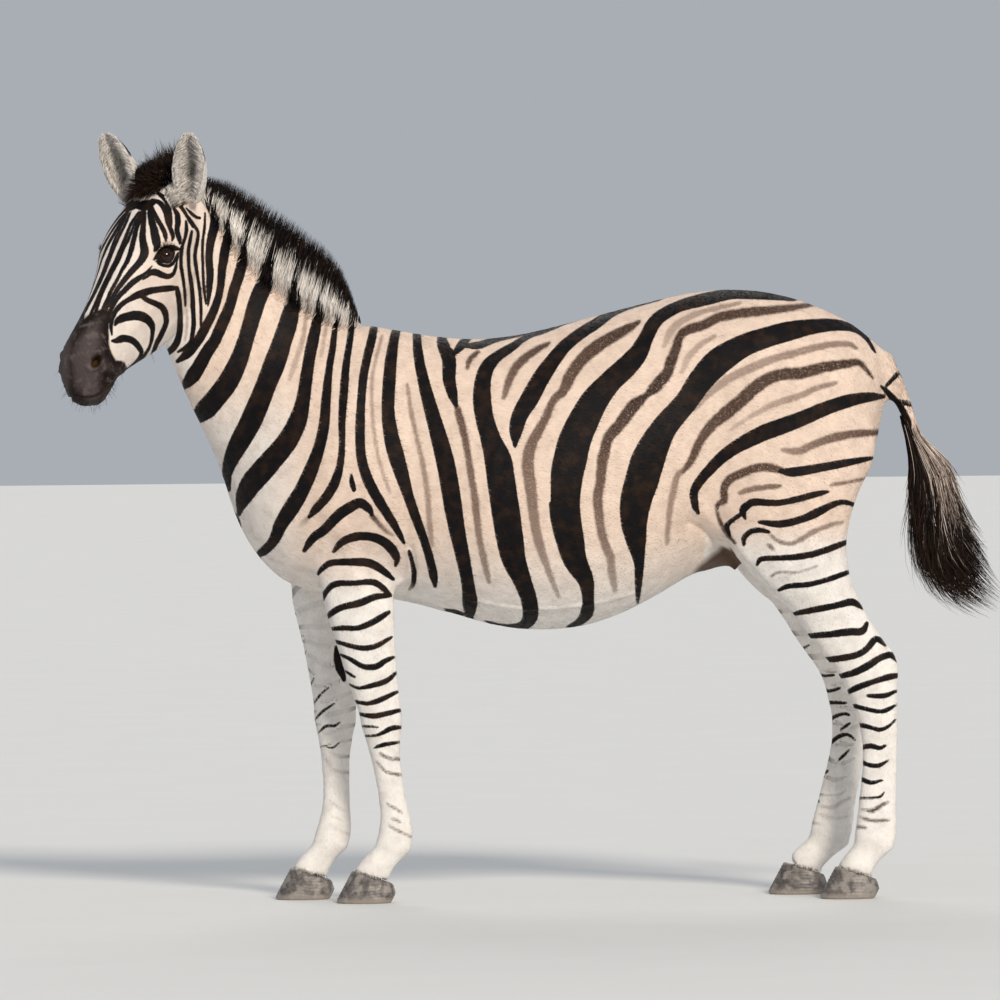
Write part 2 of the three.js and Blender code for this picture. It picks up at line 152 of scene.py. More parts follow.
# ---- camera --------------------------------------------------------------------------------
AHEAD = np.array([0, math.cos(VIEW_DOWN), -math.sin(VIEW_DOWN)])
VIEW_UP = np.cross([1, 0, 0], AHEAD)


def chart(p):
    """Where points of the zebra's own frame fall on the side view: right and down, in chart units."""
    from_eye = p - (VIEW_CENTRE - AHEAD * VIEW_DISTANCE)
    scale = VIEW_DISTANCE / VIEW_WIDTH * CHART / (from_eye @ AHEAD)
    right, down = from_eye[:, 0] * scale, -(from_eye @ VIEW_UP) * scale
    return np.stack([right + VIEW_ROLL * down, down - VIEW_ROLL * right], 1) + CHART / 2


def make_camera():
    data = bpy.data.cameras.new("camera")
    camera = bpy.data.objects.new("camera", data)
    bpy.context.scene.collection.objects.link(camera)
    camera.location = VIEW_CENTRE + SHIFT - AHEAD * VIEW_DISTANCE
    camera.rotation_mode = "QUATERNION"
    roll = Quaternion((0, 0, 1), -VIEW_ROLL)
    camera.rotation_quaternion = Vector(AHEAD).to_track_quat("-Z", "Y") @ roll
    data.lens = data.sensor_width * VIEW_DISTANCE / VIEW_WIDTH
    data.clip_end = 4 * VIEW_DISTANCE
    bpy.context.scene.camera = camera


# ---- markings, drawn on the side view: right, down, width ------------------------------------
# Each name tells where the stripe lies; the points run along it.
BLACK = {
    "forelock root": [(133, 204, 8), (141, 206, 10), (149, 204, 10), (156, 201, 6)],
    "breast spot": [(228.5, 504, 3), (232.5, 513, 5), (237, 521, 6), (240, 528, 3)],
    # neck, from the throat to the withers; each runs up into the mane
    "neck 1": [(207, 199, 3), (211, 208, 7), (215, 218, 9), (214, 228, 9), (211, 240, 8), (209, 256, 7),
        (210, 275, 7), (209, 292, 5), (208, 306, 2)],
    "neck 2": [(232, 190, 8), (225, 205, 8), (227, 218, 8), (228, 232, 7), (225, 250, 9), (222, 270, 8),
        (220, 290, 7), (214, 310, 8), (204, 330, 9), (197, 342, 9), (188, 353, 9), (178, 361, 7)],
    "neck 3": [(264, 204, 10), (253, 220, 10), (246, 238, 11), (243, 258, 10), (239, 275, 10),
        (234, 290, 10), (230, 305, 10), (223, 322, 11), (215, 340, 11), (207, 352, 12), (198, 368, 13),
        (189, 381, 14), (183, 388, 8)],
    "neck 4": [(290, 238, 12), (279, 253, 11), (270, 265, 12), (265, 282, 15), (257, 302, 16),
        (251, 322, 15), (245, 342, 15), (238, 362, 17), (228, 382, 19), (215, 399, 19), (203, 412, 19),
        (188, 423, 17)],
    "neck 5": [(312, 258, 9), (303, 272, 8), (295, 285, 9), (293, 300, 12), (289, 320, 17), (282, 342, 18),
        (274, 365, 20), (266, 385, 19), (258, 405, 20), (249, 425, 20), (238, 445, 18), (231, 460, 14),
        (227, 475, 9), (229, 490, 5)],
    "neck 6": [(332, 284, 7), (324, 296, 6), (318, 307, 6), (317, 320, 9), (313, 340, 11), (309, 360, 11),
        (306, 380, 12), (303, 400, 13), (298, 420, 17), (288, 440, 19), (276, 455, 20), (263, 470, 21),
        (251, 484, 20), (243, 499, 15), (239, 514, 8)],
    "neck 7": [(341, 300, 5), (336, 312, 5), (335, 325, 5), (333, 345, 6), (329, 370, 7), (326, 400, 9),
        (324, 425, 10), (319, 448, 11), (311, 470, 13), (302, 490, 14), (292, 507, 15), (281, 524, 13),
        (274, 540, 10), (266, 549, 9), (255, 557, 9)],
    # shoulder
    "shoulder 1": [(356, 310, 4), (352, 322, 6), (350, 340, 6), (346, 365, 7), (344, 390, 8), (342, 420, 7),
        (342, 445, 6), (340, 465, 7), (335, 482, 9), (327, 496, 9), (316, 509, 8), (309, 517, 5)],
    "shoulder 2": [(375, 320, 6), (372, 338, 8), (367, 358, 8), (363, 380, 8), (361, 405, 8), (360, 430, 9),
        (361, 455, 9), (366, 475, 10), (375, 494, 10), (386, 512, 9), (396, 528, 7), (404, 543, 4)],
    "shoulder 3": [(398, 322, 8), (394, 340, 9), (391, 360, 11), (389, 385, 12), (388, 410, 12),
        (391, 435, 14), (396, 455, 15), (402, 475, 13), (408, 495, 10), (416, 518, 9), (424, 540, 8),
        (430, 560, 8), (434, 578, 8), (435, 586, 6)],
    "shoulder wedge": [(351, 473, 2), (352, 482, 5), (354, 490, 8)],
    "shoulder arch 1": [(304, 551, 5), (313, 538, 8), (324, 530, 9), (338, 515.6, 10), (349, 508, 10),
        (360, 503, 9), (369, 509, 8), (372, 515, 5)],
    "shoulder arch 2": [(333, 552, 4), (342, 542, 7), (355.6, 536.7, 8), (371, 536.7, 8), (384, 542, 9),
        (393, 551, 9), (396.7, 559, 7), (395.6, 565.6, 4)],
    "elbow": [(409, 551, 4), (412, 562, 4), (414, 573, 5), (413, 584, 4), (409, 590, 3)],
    # trunk
    "trunk 1": [(416, 325, 8), (417, 340, 8), (418, 352, 9), (421, 370, 10), (427, 395, 12), (434, 420, 14),
        (441, 445, 16), (447, 470, 17), (452, 500, 17), (457, 530, 15), (463, 558, 13), (468, 585, 12),
        (470, 605, 15), (469, 620, 14)],
    "belly edge": [(405, 599, 2), (425, 605, 3), (445, 611, 5), (462, 614, 8)],
    "trunk 2": [(440, 330, 9), (443, 345, 11), (449, 360, 13), (449, 378, 12), (452, 392, 10),
        (456, 406, 7)],
    "trunk 2 arm": [(472, 332, 5), (464, 342, 8), (454, 354, 9)],
    "saddle line": [(465, 346, 6), (480, 345, 7), (496, 339, 6), (520, 334, 5), (545, 328, 5),
        (570, 321, 4), (590, 315, 3)],
    "trunk 3": [(562, 325, 2), (545, 331, 4), (527, 337, 5), (512, 347, 8), (498, 356, 10), (488, 366, 13),
        (483, 380, 15), (482, 400, 17), (485, 420, 17), (491, 440, 19), (498, 460, 25), (501, 480, 26),
        (504, 500, 26), (507, 520, 26), (510, 540, 25), (514, 560, 22), (522, 580, 17), (529, 600, 15),
        (530, 617, 14), (521, 626, 8), (503, 626, 4), (485, 621, 2)],
    "trunk 3 upper": [(515, 446, 7), (516, 430, 13), (520, 415, 15), (530, 398, 17), (541, 378, 16),
        (552, 362, 14), (565, 346, 12), (580, 334, 11), (597, 323, 10), (613, 312, 8), (630, 306, 6),
        (645, 302, 5), (662, 298, 4)],
    "trunk 4": [(567, 627, 3), (579, 622, 7), (587, 612, 12), (588, 598, 11), (585.5, 580, 15),
        (575, 560, 22), (570, 540, 26), (566, 520, 28), (564.5, 500, 29), (566, 480, 30), (570, 460, 31),
        (575, 440, 30), (584, 420, 28), (595, 400, 25), (610, 382, 21), (625, 368, 20), (637, 355, 18),
        (645, 340, 14), (652, 326, 13), (661, 316, 12), (680, 306, 11), (706, 299, 12), (731, 294, 10),
        (754, 293.5, 11), (777, 296, 8), (795, 300, 3)],
    "flank": [(637.5, 603, 3), (638.5, 582, 7), (639, 562, 10), (636, 540, 19), (634, 520, 25),
        (636, 500, 29), (642, 480, 31), (648, 460, 31), (656, 442, 27), (667, 424, 23), (686, 402, 21),
        (701, 380, 23), (719, 361, 25), (743, 346, 21), (766, 337.5, 19), (789.5, 331, 18),
        (813, 326.5, 14), (836, 325, 11), (854, 329, 6), (866, 338, 4), (875, 352, 3)],
    # haunch
    "haunch 2": [(698, 513, 5), (695, 505, 7), (694, 492, 8), (701, 479.5, 9), (710.5, 469, 10),
        (720, 459, 11), (733, 449, 12), (749, 440, 14), (766, 432, 15), (782.5, 426, 15), (801, 419, 14),
        (824.4, 409, 13), (847.7, 401, 12), (869, 397, 9), (884, 396.5, 5)],
    "haunch 3": [(872, 458, 4), (848, 462.5, 7), (824, 467, 8), (794, 472, 9), (780, 471, 8)],
    "haunch 4": [(745, 519, 3), (743, 510, 7), (748, 505, 7), (755, 502, 7), (775.6, 503, 6), (794, 500, 6),
        (813, 495, 6), (828, 491.6, 4)],
    "haunch 4 branch": [(743, 513, 5), (734, 519, 4), (727, 526, 5), (730, 536, 3)],
    "haunch 5": [(759, 522, 4), (780, 524, 7), (801, 519.5, 7), (817, 512.6, 8), (831, 505.6, 6),
        (843, 502, 5), (857, 505.6, 4)],
    "haunch 6": [(744, 545, 4), (744, 538, 5), (750, 532, 5), (759, 530, 5), (769, 532, 4)],
    "haunch 7": [(757, 565, 4), (761.6, 559, 5), (780, 558, 5), (799, 556.7, 6), (817, 553, 6),
        (834, 547, 6), (852, 540, 4)],
    # left foreleg, downwards
    "fore 1": [(318, 574, 4), (322, 569, 5), (331, 563, 6), (351, 562, 7), (369, 563, 8), (382, 570, 7),
        (393, 579, 5)],
    "fore 2": [(322, 600, 5), (326.7, 591, 5), (335.6, 584, 6), (355.6, 583, 5), (371, 582, 6),
        (380, 585.6, 6), (391, 595.6, 4)],
    "fore 3": [(325.6, 619, 4), (333, 612, 6), (344, 606.7, 6), (360, 603, 7), (375.6, 596.7, 6),
        (391, 595.6, 4)],
    "fore 4": [(331, 629, 4), (344, 628, 5), (358, 628, 5), (373, 622, 6), (389, 612, 5)],
    "fore 5": [(334, 640.5, 3), (343, 643.7, 4), (361, 648, 5), (376, 646, 5), (392, 637, 3)],
    "fore 6": [(338, 653.5, 2), (350, 659, 4), (363, 666.5, 5), (376, 666.5, 6), (385, 661, 5),
        (394.6, 656.7, 3)],
    "fore 7": [(343.5, 670, 2), (355, 677.4, 3)],
    "fore 8": [(349, 684, 2), (358.7, 688, 3), (374, 685, 5), (387, 680.6, 5), (396.7, 672, 3)],
    "fore 9": [(353, 701, 3), (367, 703.5, 4), (380, 700, 5), (398, 691.5, 3.5)],
    "fore 10": [(355, 713, 2), (372, 716, 5), (385, 714, 5), (401, 710, 4)],
    "fore 11": [(360, 726, 2.5), (378, 727, 2.5)],
    "fore 12": [(364, 736, 2), (378, 735, 3), (391, 728.5, 5), (403, 727, 3)],
    "fore 13": [(374, 748, 2), (382.6, 745, 4), (400, 742, 3)],
    # left hind leg, downwards
    "hind 1": [(779, 590, 4), (789.5, 586, 5), (808, 584.6, 5), (826.7, 580, 5), (840.7, 575, 5),
        (851, 571, 4)],
    "hind 2": [(793, 614, 4), (813, 610, 6), (836, 605.6, 6), (852, 602, 7), (862, 608, 4)],
    "hind 3": [(806, 636, 5), (827, 634.6, 6), (848, 632, 7), (862, 631, 7), (867, 623, 5)],
    "hind 4": [(817.5, 659.5, 3), (835, 659, 6), (855, 655.5, 6), (866, 649.6, 6), (876, 639, 6),
        (885, 645, 4)],
    "hind 5": [(832, 677.5, 3), (850, 674, 6), (866, 667, 7), (880, 658, 6), (891, 655, 6),
        (898, 661.6, 4)],
    "hind 6": [(843.6, 694.5, 3), (857, 687.7, 6), (875.5, 681, 5), (889, 677, 6), (900, 675, 5)],
    "hind 7": [(867.5, 695.7, 4), (884.5, 695.7, 5), (898, 690, 2.5)],
    "hind 8": [(852, 709, 2), (854, 706, 4), (866, 709, 4), (880, 711.6, 4), (889, 709, 4), (897, 704, 2)],
    "hind 9": [(857, 727.5, 2), (859.5, 725, 4), (871, 727.5, 4), (880, 729.8, 4), (889, 726, 3),
        (896, 719, 2)],
    "hind 10": [(858.4, 751, 2), (860.7, 748, 4), (871, 746, 5), (880, 748, 4), (887, 744.5, 2)],
    "hind 11": [(861, 759, 2), (866, 764, 4), (878, 765.7, 4), (889, 760, 2)],
    "hind 12": [(855, 782, 3), (859.5, 778.6, 4), (871, 782.7, 4), (883.4, 779.8, 2)],
    "hind 13": [(854, 798, 2), (871, 798, 2.5), (880, 796.8, 2.5), (884.5, 792, 1.5)],
    # forehead and face, from the middle outwards
    "face 1": [(139, 212, 3), (131, 224, 3), (124.5, 240, 3.5), (116, 260, 3.5), (106, 280, 3.5),
        (97, 300, 3.2), (89, 318, 3)],
    "face 2": [(141, 214, 3), (134.5, 224, 2.5), (129, 238, 3), (122.5, 251, 3), (119, 260, 2.8),
        (113.5, 270, 2.8), (108.5, 280, 3), (103.5, 290, 3), (99.5, 300, 3.2), (95, 314, 3.5)],
    "face 3": [(142, 212, 5), (136.5, 228, 4.5), (132.5, 245, 5), (127.7, 260, 4.5), (122, 270, 3.6),
        (117, 280, 3.6), (111.5, 290, 3.6), (107, 300, 3.6), (101, 313, 3.5)],
    "face 4": [(144, 208, 5), (143.5, 222, 5), (142.5, 238, 6.5), (144.5, 250, 8), (143.5, 256, 8),
        (140, 262, 6.5), (134, 268.5, 6), (128, 275.5, 5.5), (122, 283, 5), (117, 290, 4.5),
        (111, 300, 4.5), (105, 311, 4)],
    "face 5": [(152, 266, 1.5), (146, 273, 3.2), (139, 278, 5), (132, 283, 5.5), (126, 289, 5.2),
        (121, 294, 5), (116, 300, 4.8), (112, 307, 4.5), (109, 315, 3.5), (108, 323, 2)],
    "face 5 fork": [(155, 269, 1.5), (149, 275, 2.5), (143, 279, 3)],
    "over the eye 1": [(149, 207, 5), (151.5, 220, 6.5), (154, 230, 7.5), (156, 240, 8.5), (157, 246, 8),
        (154.5, 251, 3)],
    "over the eye 2": [(150, 203, 4), (153, 211, 4.5), (159, 222, 4.5), (163.5, 230, 4.5),
        (165.5, 236, 4.5), (166, 241, 2.5)],
    "over the eye 3": [(152, 200, 4), (160, 203, 5), (165.5, 211, 5.5), (167.5, 221, 4.5), (171, 230, 4.5),
        (173, 236, 4), (172, 241, 2)],
    "over the eye 4": [(158, 193, 5), (165, 199, 5), (169, 208, 4.5), (170.5, 218, 3.5), (171, 226, 3.5)],
    "over the eye 5": [(172, 206, 2), (177, 214, 5), (178, 222, 5.5), (177, 230, 5), (179, 238, 5),
        (180, 243, 4)],
    "under the eye": [(147, 276, 3), (151.5, 272.5, 6), (156, 272.5, 6.5), (162, 275, 6), (168, 276.5, 5),
        (173, 274, 4), (175.5, 268, 3), (177, 261, 2), (178.5, 255, 1.5)],
    "upper lid": [(153.5, 260, 2), (157.5, 256, 4.5), (162.5, 250.5, 6), (169.5, 247.6, 5.5),
        (176, 248.5, 5), (180, 249, 2)],
    "lower lid": [(155, 260.5, 2), (160, 264, 3), (167, 266, 3), (172, 264, 3.5), (175.5, 259, 3),
        (178, 253, 3)],
    # cheek
    "cheek bar": [(177, 288, 6), (167, 288.5, 6), (155, 290, 6), (146, 292, 7), (138, 295, 7),
        (130, 299, 5), (124, 302.5, 5), (119, 307, 5), (115, 312, 4.5), (112.5, 318, 4), (111, 326, 3.5),
        (112, 335, 2)],
    "cheek edge": [(177, 288, 6), (179, 300, 5), (180, 312, 5), (180, 325, 5.5), (179, 335, 6),
        (176, 344, 6.5), (170, 351, 6), (164, 356, 4.5), (159, 359, 3)],
    "cheek hook": [(142, 296.5, 6), (147, 300, 5), (155, 303.5, 5.5), (161, 306.5, 6), (164.5, 311, 6),
        (166, 317, 5.5), (166, 323, 5), (163, 331, 5), (159, 339, 5), (156, 345, 4.5), (153.7, 352, 4),
        (150.5, 360, 4), (146, 368, 4)],
    "cheek arch": [(115, 325, 3), (118, 320.5, 7), (126, 317, 8), (136, 315.5, 9), (143, 317, 9),
        (148.5, 320.5, 7.5), (152, 326, 6), (152.5, 332, 4), (151.5, 340, 3.5), (149.5, 347, 3),
        (146, 353, 3), (141.5, 359, 3.5), (137, 365, 3.5), (131, 372, 3)],
    "lip arch": [(112, 341, 3), (117, 340.5, 6), (123, 338.5, 7), (130.5, 339.5, 6.5), (136, 343.5, 6),
        (140, 349, 5), (141.5, 353, 4), (139, 358, 3), (134, 364, 3), (129, 368.5, 3), (124, 372, 3)],
    "behind the eye 1": [(186, 221, 3), (186.5, 228, 3.5), (185.5, 236, 3.5), (183, 244, 3),
        (181.5, 250, 4), (181, 258, 3.5), (181, 266, 3.5), (182.5, 275, 3.5), (184, 285, 3), (185, 295, 3),
        (185.3, 306, 2)],
    "behind the eye 2": [(192, 231, 3), (190, 240, 3.5), (188.5, 250, 3.5), (188.5, 258, 3.5),
        (189, 268, 3.5), (190.5, 279, 4), (192, 289, 4), (192.6, 300, 4.5), (193, 310, 4.5),
        (193.7, 321, 4.5), (193, 331, 4.5), (191, 341, 4), (186, 347, 4), (178, 352, 3)],
    "behind the eye 3": [(189, 217, 2), (194, 225, 3), (198, 232, 3), (197.5, 240, 3.5), (195.5, 250, 3.5),
        (195, 258, 3.5), (196.3, 268, 3.5), (198, 279, 3.2), (199.5, 289, 3.2), (200.5, 300, 3.2),
        (201, 312, 3), (200.8, 326, 2.5)],
    "behind the eye 4": [(205, 213, 2), (204.7, 226, 2.6), (202.6, 242, 2.8), (202.6, 258, 2.8),
        (203, 273, 2.8), (204, 289, 2.8), (206, 304, 2.2)],
    "below the ear 1": [(171, 194, 4), (178, 203, 4), (184, 211, 3.5), (189, 220, 3), (193, 227, 3)],
    "below the ear 2": [(186, 208, 1.5), (191, 213, 3), (196, 217, 3), (199.5, 218, 4)],
    # tail
    "dock bar 1": [(886, 386, 4), (892, 380, 4), (898, 373, 6)],
    "dock bar 2": [(900, 401, 4), (907, 403, 5), (915, 405, 5)],
    "dock underside": [(881, 386, 3), (891, 396, 6), (899, 408, 9), (904, 420, 12), (908, 440, 14)],
}
# Dark brown stripes and the shadow stripes between the black ones: how dark at the start and the end.
SHADOW = {
    "trunk 2 runs out": (0.7, 0.35, [(456, 404, 7), (463, 430, 7), (467, 450, 6), (471, 475, 6),
        (475, 500, 7), (478, 530, 6), (484, 560, 6), (489, 582, 5)]),
    "saddle hook": (0.8, 0.6, [(478, 352, 5), (470, 359, 5), (467, 368, 4)]),
    "trunk 3 inner": (0.8, 0.5, [(549, 343, 4), (530, 354, 7), (516, 367, 8), (509, 381, 7),
        (503.5, 398, 5)]),
    "between trunk 3 and 4": (0.85, 0.3, [(639, 322, 5), (625, 330, 9), (607, 340, 11), (591, 351, 12),
        (579, 363, 11), (570, 376, 11), (563, 391, 9), (553, 401, 7), (546, 417, 8), (539, 430, 9),
        (532.5, 442, 10), (529, 453, 11), (528, 466, 11), (530, 483, 11), (532, 500, 10), (534, 518, 9),
        (537, 535, 9), (542, 553, 8), (547, 567, 6), (553, 583, 5), (559, 597, 3)]),
    "between trunk 4 and flank, upper": (0.75, 0.95, [(813, 304, 4), (789.5, 308, 6), (757, 311.4, 9),
        (738, 313.7, 9), (720, 317, 9), (703.5, 325, 9), (689.5, 329, 9), (680, 336, 8), (675.6, 350, 9),
        (671, 361, 10), (667, 373, 10), (656, 386, 12), (646.5, 395, 12)]),
    "between trunk 4 and flank, lower": (0.95, 0.3, [(646.5, 395, 12), (632.6, 407, 12), (621, 423, 11),
        (609, 437, 10), (604.7, 451, 10), (602, 463, 10), (600.5, 481, 9), (597.7, 497.7, 9), (599, 514, 9),
        (601, 530, 8), (606, 546.5, 8), (610.5, 558, 8), (612, 574, 7), (615, 590.7, 6)]),
    "above it": (0.2, 0.3, [(664, 346, 5), (672, 330, 7), (685, 319, 6), (705, 311, 5), (740, 303, 4)]),
    "below it": (0.3, 0.15, [(715, 336, 4), (700, 345, 5), (688, 358, 6), (682, 372, 5)]),
    "behind the flank": (0.4, 0.3, [(684, 468, 4), (677, 477, 6), (672, 498, 6), (668.6, 521, 5),
        (667, 544, 4)]),
    "haunch 1": (0.7, 0.95, [(683, 472, 5), (692, 459, 7), (699, 443, 8), (710.5, 426.5, 10),
        (726.7, 412.6, 12), (743, 398.6, 12), (759, 384.7, 12), (778, 375, 11), (801, 373, 11),
        (824.4, 367, 10), (847.7, 363.7, 8), (859, 362.6, 6), (866, 369.5, 4), (873, 378, 3)]),
    "over haunch 1": (0.25, 0.45, [(694, 410, 5), (706, 396, 7), (727, 380, 8), (750, 368.5, 8),
        (773, 359, 7), (799, 352, 7), (827, 345, 6), (848, 344, 5), (856, 348, 4)]),
    "under haunch 1": (0.15, 0.4, [(730, 430, 3), (748, 418, 4), (766, 408, 5), (780, 402, 6),
        (799, 396, 6), (817, 388, 5), (836, 383, 4)]),
    "under haunch 2": (0.35, 0.85, [(782.5, 450, 5), (799, 451, 7), (812.8, 445, 7), (836, 437, 8),
        (859, 433.5, 7), (878, 432, 5), (885, 429, 3)]),
    "haunch 3 fore end": (0.75, 0.8, [(785, 471, 8), (761.6, 467, 8), (743, 473, 8), (729, 480, 8),
        (724, 489, 7), (724, 500, 7), (718, 505, 5), (717, 512, 3), (722, 525, 4), (728, 535, 4),
        (735, 543, 3)]),
    "haunch 3 echo": (0.4, 0.6, [(739.5, 493, 5), (752, 489, 5), (768.6, 487, 5), (780, 486, 4)]),
    "haunch 4 runs out": (0.5, 0.6, [(831, 485, 3), (848, 482, 3), (869, 478, 3)]),
    "haunch 6 runs out": (0.5, 0.35, [(771, 535, 3), (780, 542, 3), (794, 543, 4), (813, 532, 5),
        (831, 525, 4), (843, 522, 3)]),
    "haunch 6 spot": (0.5, 0.5, [(768, 545, 4), (773, 549, 4)]),
    "under haunch 7": (0.5, 0.3, [(771, 576.5, 2), (780, 572, 2), (799, 572, 2), (817, 566, 2)]),
    "arch 1 runs out": (0.7, 0.3, [(371, 515, 5), (384, 529, 4), (393, 535.6, 3)]),
    "shoulder 1 runs out": (0.3, 0.1, [(309, 517, 6), (300, 526, 4)]),
    "neck 5 to 6": (0.3, 0.15, [(307, 300, 3), (304, 333, 4), (296, 360, 5), (289, 380, 4)]),
    "neck 6 to 7": (0.3, 0.15, [(327, 322, 3), (321, 356, 4)]),
    "shoulder 2 to 3": (0.3, 0.25, [(382, 336, 3), (375.6, 360, 3), (372, 380, 3), (372, 411, 3),
        (375.6, 444, 3), (382, 471, 3), (390, 493, 3)]),
    "shoulder 3 to trunk 1": (0.35, 0.3, [(407, 384, 3), (411, 411, 4), (415.6, 433, 4), (422, 460, 4),
        (427, 489, 5), (429, 518, 5), (432, 545, 5)]),
    "cheek pale line": (0.25, 0.25, [(187, 310, 2), (187, 325, 2), (185, 340, 2)]),
    "lower lid's skin": (0.6, 0.6, [(158, 260.5, 3.5), (164, 262.8, 4), (171, 261.5, 4)]),
    "fore 14": (0.7, 0.8, [(380, 753.5, 2.2), (389, 758, 3), (400, 759, 3)]),
    "fore 15": (0.5, 0.7, [(377, 762, 2), (387, 772, 2.2), (401, 775, 3)]),
    "fore 16": (0.5, 0.5, [(387, 803.5, 2.1), (402, 813, 2.1)]),
    "fore 17": (0.5, 0.6, [(392, 818.7, 2.2), (400, 822, 2.2)]),
    "fore 18": (0.4, 0.5, [(389, 826, 2.1), (400, 831.7, 2.4), (412, 837, 2.1)]),
    "hind 14": (0.8, 0.7, [(862, 809.3, 2.2), (873, 810.5, 3.8), (882, 804.8, 3), (889, 801.4, 2.2)]),
    "hind 15": (0.7, 0.6, [(860.7, 817, 2.2), (873, 820.7, 3), (889, 820, 2.2)]),
    "hind 16": (0.6, 0.5, [(854, 826, 2.2), (866, 828, 3)]),
}
# Inner sides of the right legs, as they show between the left ones.
INNER_BLACK = {
    "chestnut": [(336, 647, 5), (338, 656, 9), (341, 668, 10), (344, 680, 6)],
    "fore 1": [(291, 612, 1.1), (296, 614, 1.1)],
    "fore 2": [(296, 635, 1.5), (304, 636, 1.1)],
    "fore 3": [(300, 659, 1.5), (306, 651, 1.5)],
    "fore 4": [(308, 690, 1.5), (314, 678, 1.5)],
    "fore 5": [(312, 706, 1.5), (320, 695, 2.2), (329, 687, 1.5)],
    "fore 6": [(314, 721, 1.5), (322, 712, 2.6), (335, 703, 2.2)],
    "fore 7": [(318, 733, 1.5), (326, 726, 2.6), (334, 726, 2.6), (340, 722, 1.5)],
    "fore 8": [(318, 747, 1.5), (326, 746, 1.9), (332, 748, 1.9), (339, 743, 1.5)],
    "hind 1": [(792, 653.6, 3), (800, 650, 2.5), (809, 645, 2)],
    "hind 2": [(812, 671, 2), (823, 675.7, 2.5), (834, 675, 3)],
    "hind 3": [(814, 690.5, 3), (820, 688.6, 3), (829, 691, 3), (840, 688, 3)],
    "hind 4": [(820, 704.5, 3), (830, 702.5, 3.5), (846, 703, 3)],
    "hind 5": [(825, 725, 3), (834, 717, 3.5), (845, 713.6, 3), (850, 716, 2.5)],
    "hind 6": [(841, 729.5, 3), (850, 723, 3)],
    "hind 7": [(827, 746, 3), (838, 737, 4), (848, 734.6, 3), (856, 741, 2)],
    "hind 8": [(839, 760, 3), (850, 749, 2)],
    "hind 9": [(818, 776, 3), (828, 771, 3)],
    "hind 10": [(814, 798.6, 3), (819, 801.4, 3)],
}
# Bare dark skin of the nose and lips.
MUZZLE = {
    "bridge": [(80, 330, 10), (88, 325, 14), (97, 320, 16), (104, 317, 15)],
    "nose": [(97, 324, 22), (90, 340, 36), (86, 358, 46), (86, 378, 42), (92, 396, 30)],
    "corner": [(98, 360, 28), (110, 369, 18), (119, 369, 15), (123, 372, 8)],
    "chin": [(86, 398, 20), (98, 396, 22), (108, 389, 18), (115, 380, 13), (121, 374, 7)],
}

# ---- body lines the markings follow ----------------------------------------------------------
# The neck's middle plane: how far up the neck's axis, the plane's x and y there, and its turn in degrees.
NECK_AXIS = np.array([-0.54, 0, 0.84])
NECK_LINE = [(1.27, -0.592, 0, 0), (1.323, -0.617, -0.002, 5), (1.388, -0.656, -0.008, 9),
    (1.452, -0.695, -0.020, 15), (1.516, -0.729, -0.036, 22), (1.576, -0.757, -0.054, 29),
    (1.635, -0.787, -0.070, 34), (1.80, -0.832, -0.095, 54)]
# Each leg's middle: height, x of the left one, x of the right one, distance from the middle plane.
FORE_LINE = [(0.036, -0.376, -0.516, 0.091), (0.068, -0.367, -0.507, 0.091), (0.098, -0.343, -0.483, 0.091),
    (0.140, -0.314, -0.457, 0.091), (0.192, -0.316, -0.450, 0.092), (0.259, -0.325, -0.449, 0.093),
    (0.338, -0.337, -0.450, 0.094), (0.399, -0.343, -0.449, 0.095), (0.437, -0.348, -0.450, 0.096),
    (0.495, -0.361, -0.451, 0.098), (0.585, -0.376, -0.456, 0.102), (0.730, -0.399, -0.470, 0.108),
    (0.809, -0.405, -0.470, 0.112)]
HIND_LINE = [(0.036, 0.703, 0.593, 0.105), (0.068, 0.712, 0.602, 0.105), (0.097, 0.732, 0.634, 0.105),
    (0.132, 0.756, 0.662, 0.105), (0.179, 0.759, 0.671, 0.105), (0.221, 0.762, 0.680, 0.105),
    (0.282, 0.767, 0.694, 0.105), (0.335, 0.768, 0.705, 0.105), (0.396, 0.765, 0.712, 0.105),
    (0.492, 0.748, 0.708, 0.105), (0.540, 0.726, 0.690, 0.106), (0.587, 0.692, 0.660, 0.108),
    (0.630, 0.665, 0.636, 0.112), (0.682, 0.638, 0.612, 0.116), (0.728, 0.612, 0.589, 0.122),
    (0.774, 0.589, 0.569, 0.126), (0.889, 0.558, 0.545, 0.128), (1.000, 0.564, 0.554, 0.122)]
# The dock of the tail: x, y, z.
DOCK_LINE = [(0.735, 0, 1.232), (0.780, 0, 1.200), (0.812, -0.003, 1.140), (0.834, -0.006, 1.085),
    (0.856, -0.009, 1.020), (0.880, -0.011, 0.950)]
# Behind this plane of the head's own frame lies the neck.
HEAD_PLANE = np.array([-0.070, 0, -0.070])
HEAD_PLANE_NORMAL = np.array([math.cos(math.radians(53)), 0, math.sin(math.radians(53))])
# Each ear, left 1 and right -1: its root in the head's frame, its lean outwards, and how far round
# from -X to -Y its mouth looks.
EAR_ROOT = {1: np.array([0.020, 0.086, -0.030]), -1: np.array([0.020, 0.078, -0.023])}
EAR_SPLAY = {1: 0.30, -1: 0.24}
EAR_MOUTH = {1: math.radians(80), -1: math.radians(64)}
EAR_DROP = {1: 0.008, -1: 0.004}
EAR_LENGTH, EAR_FORWARD = 0.156, math.radians(20)
UDDER_MIDDLE, UDDER_SIZE = np.array([0.440, 0, 0.770]), np.array([0.105, 0.085, 0.075])


def headness(p):
    """0 on the neck, 1 on the head."""
    in_front = (to_head(p) - HEAD_PLANE) @ HEAD_PLANE_NORMAL
    near = np.linalg.norm(p - from_head([0.2, 0, -0.1]), axis=1) < 0.55
    return smoothstep(-0.03, 0.03, in_front) * near


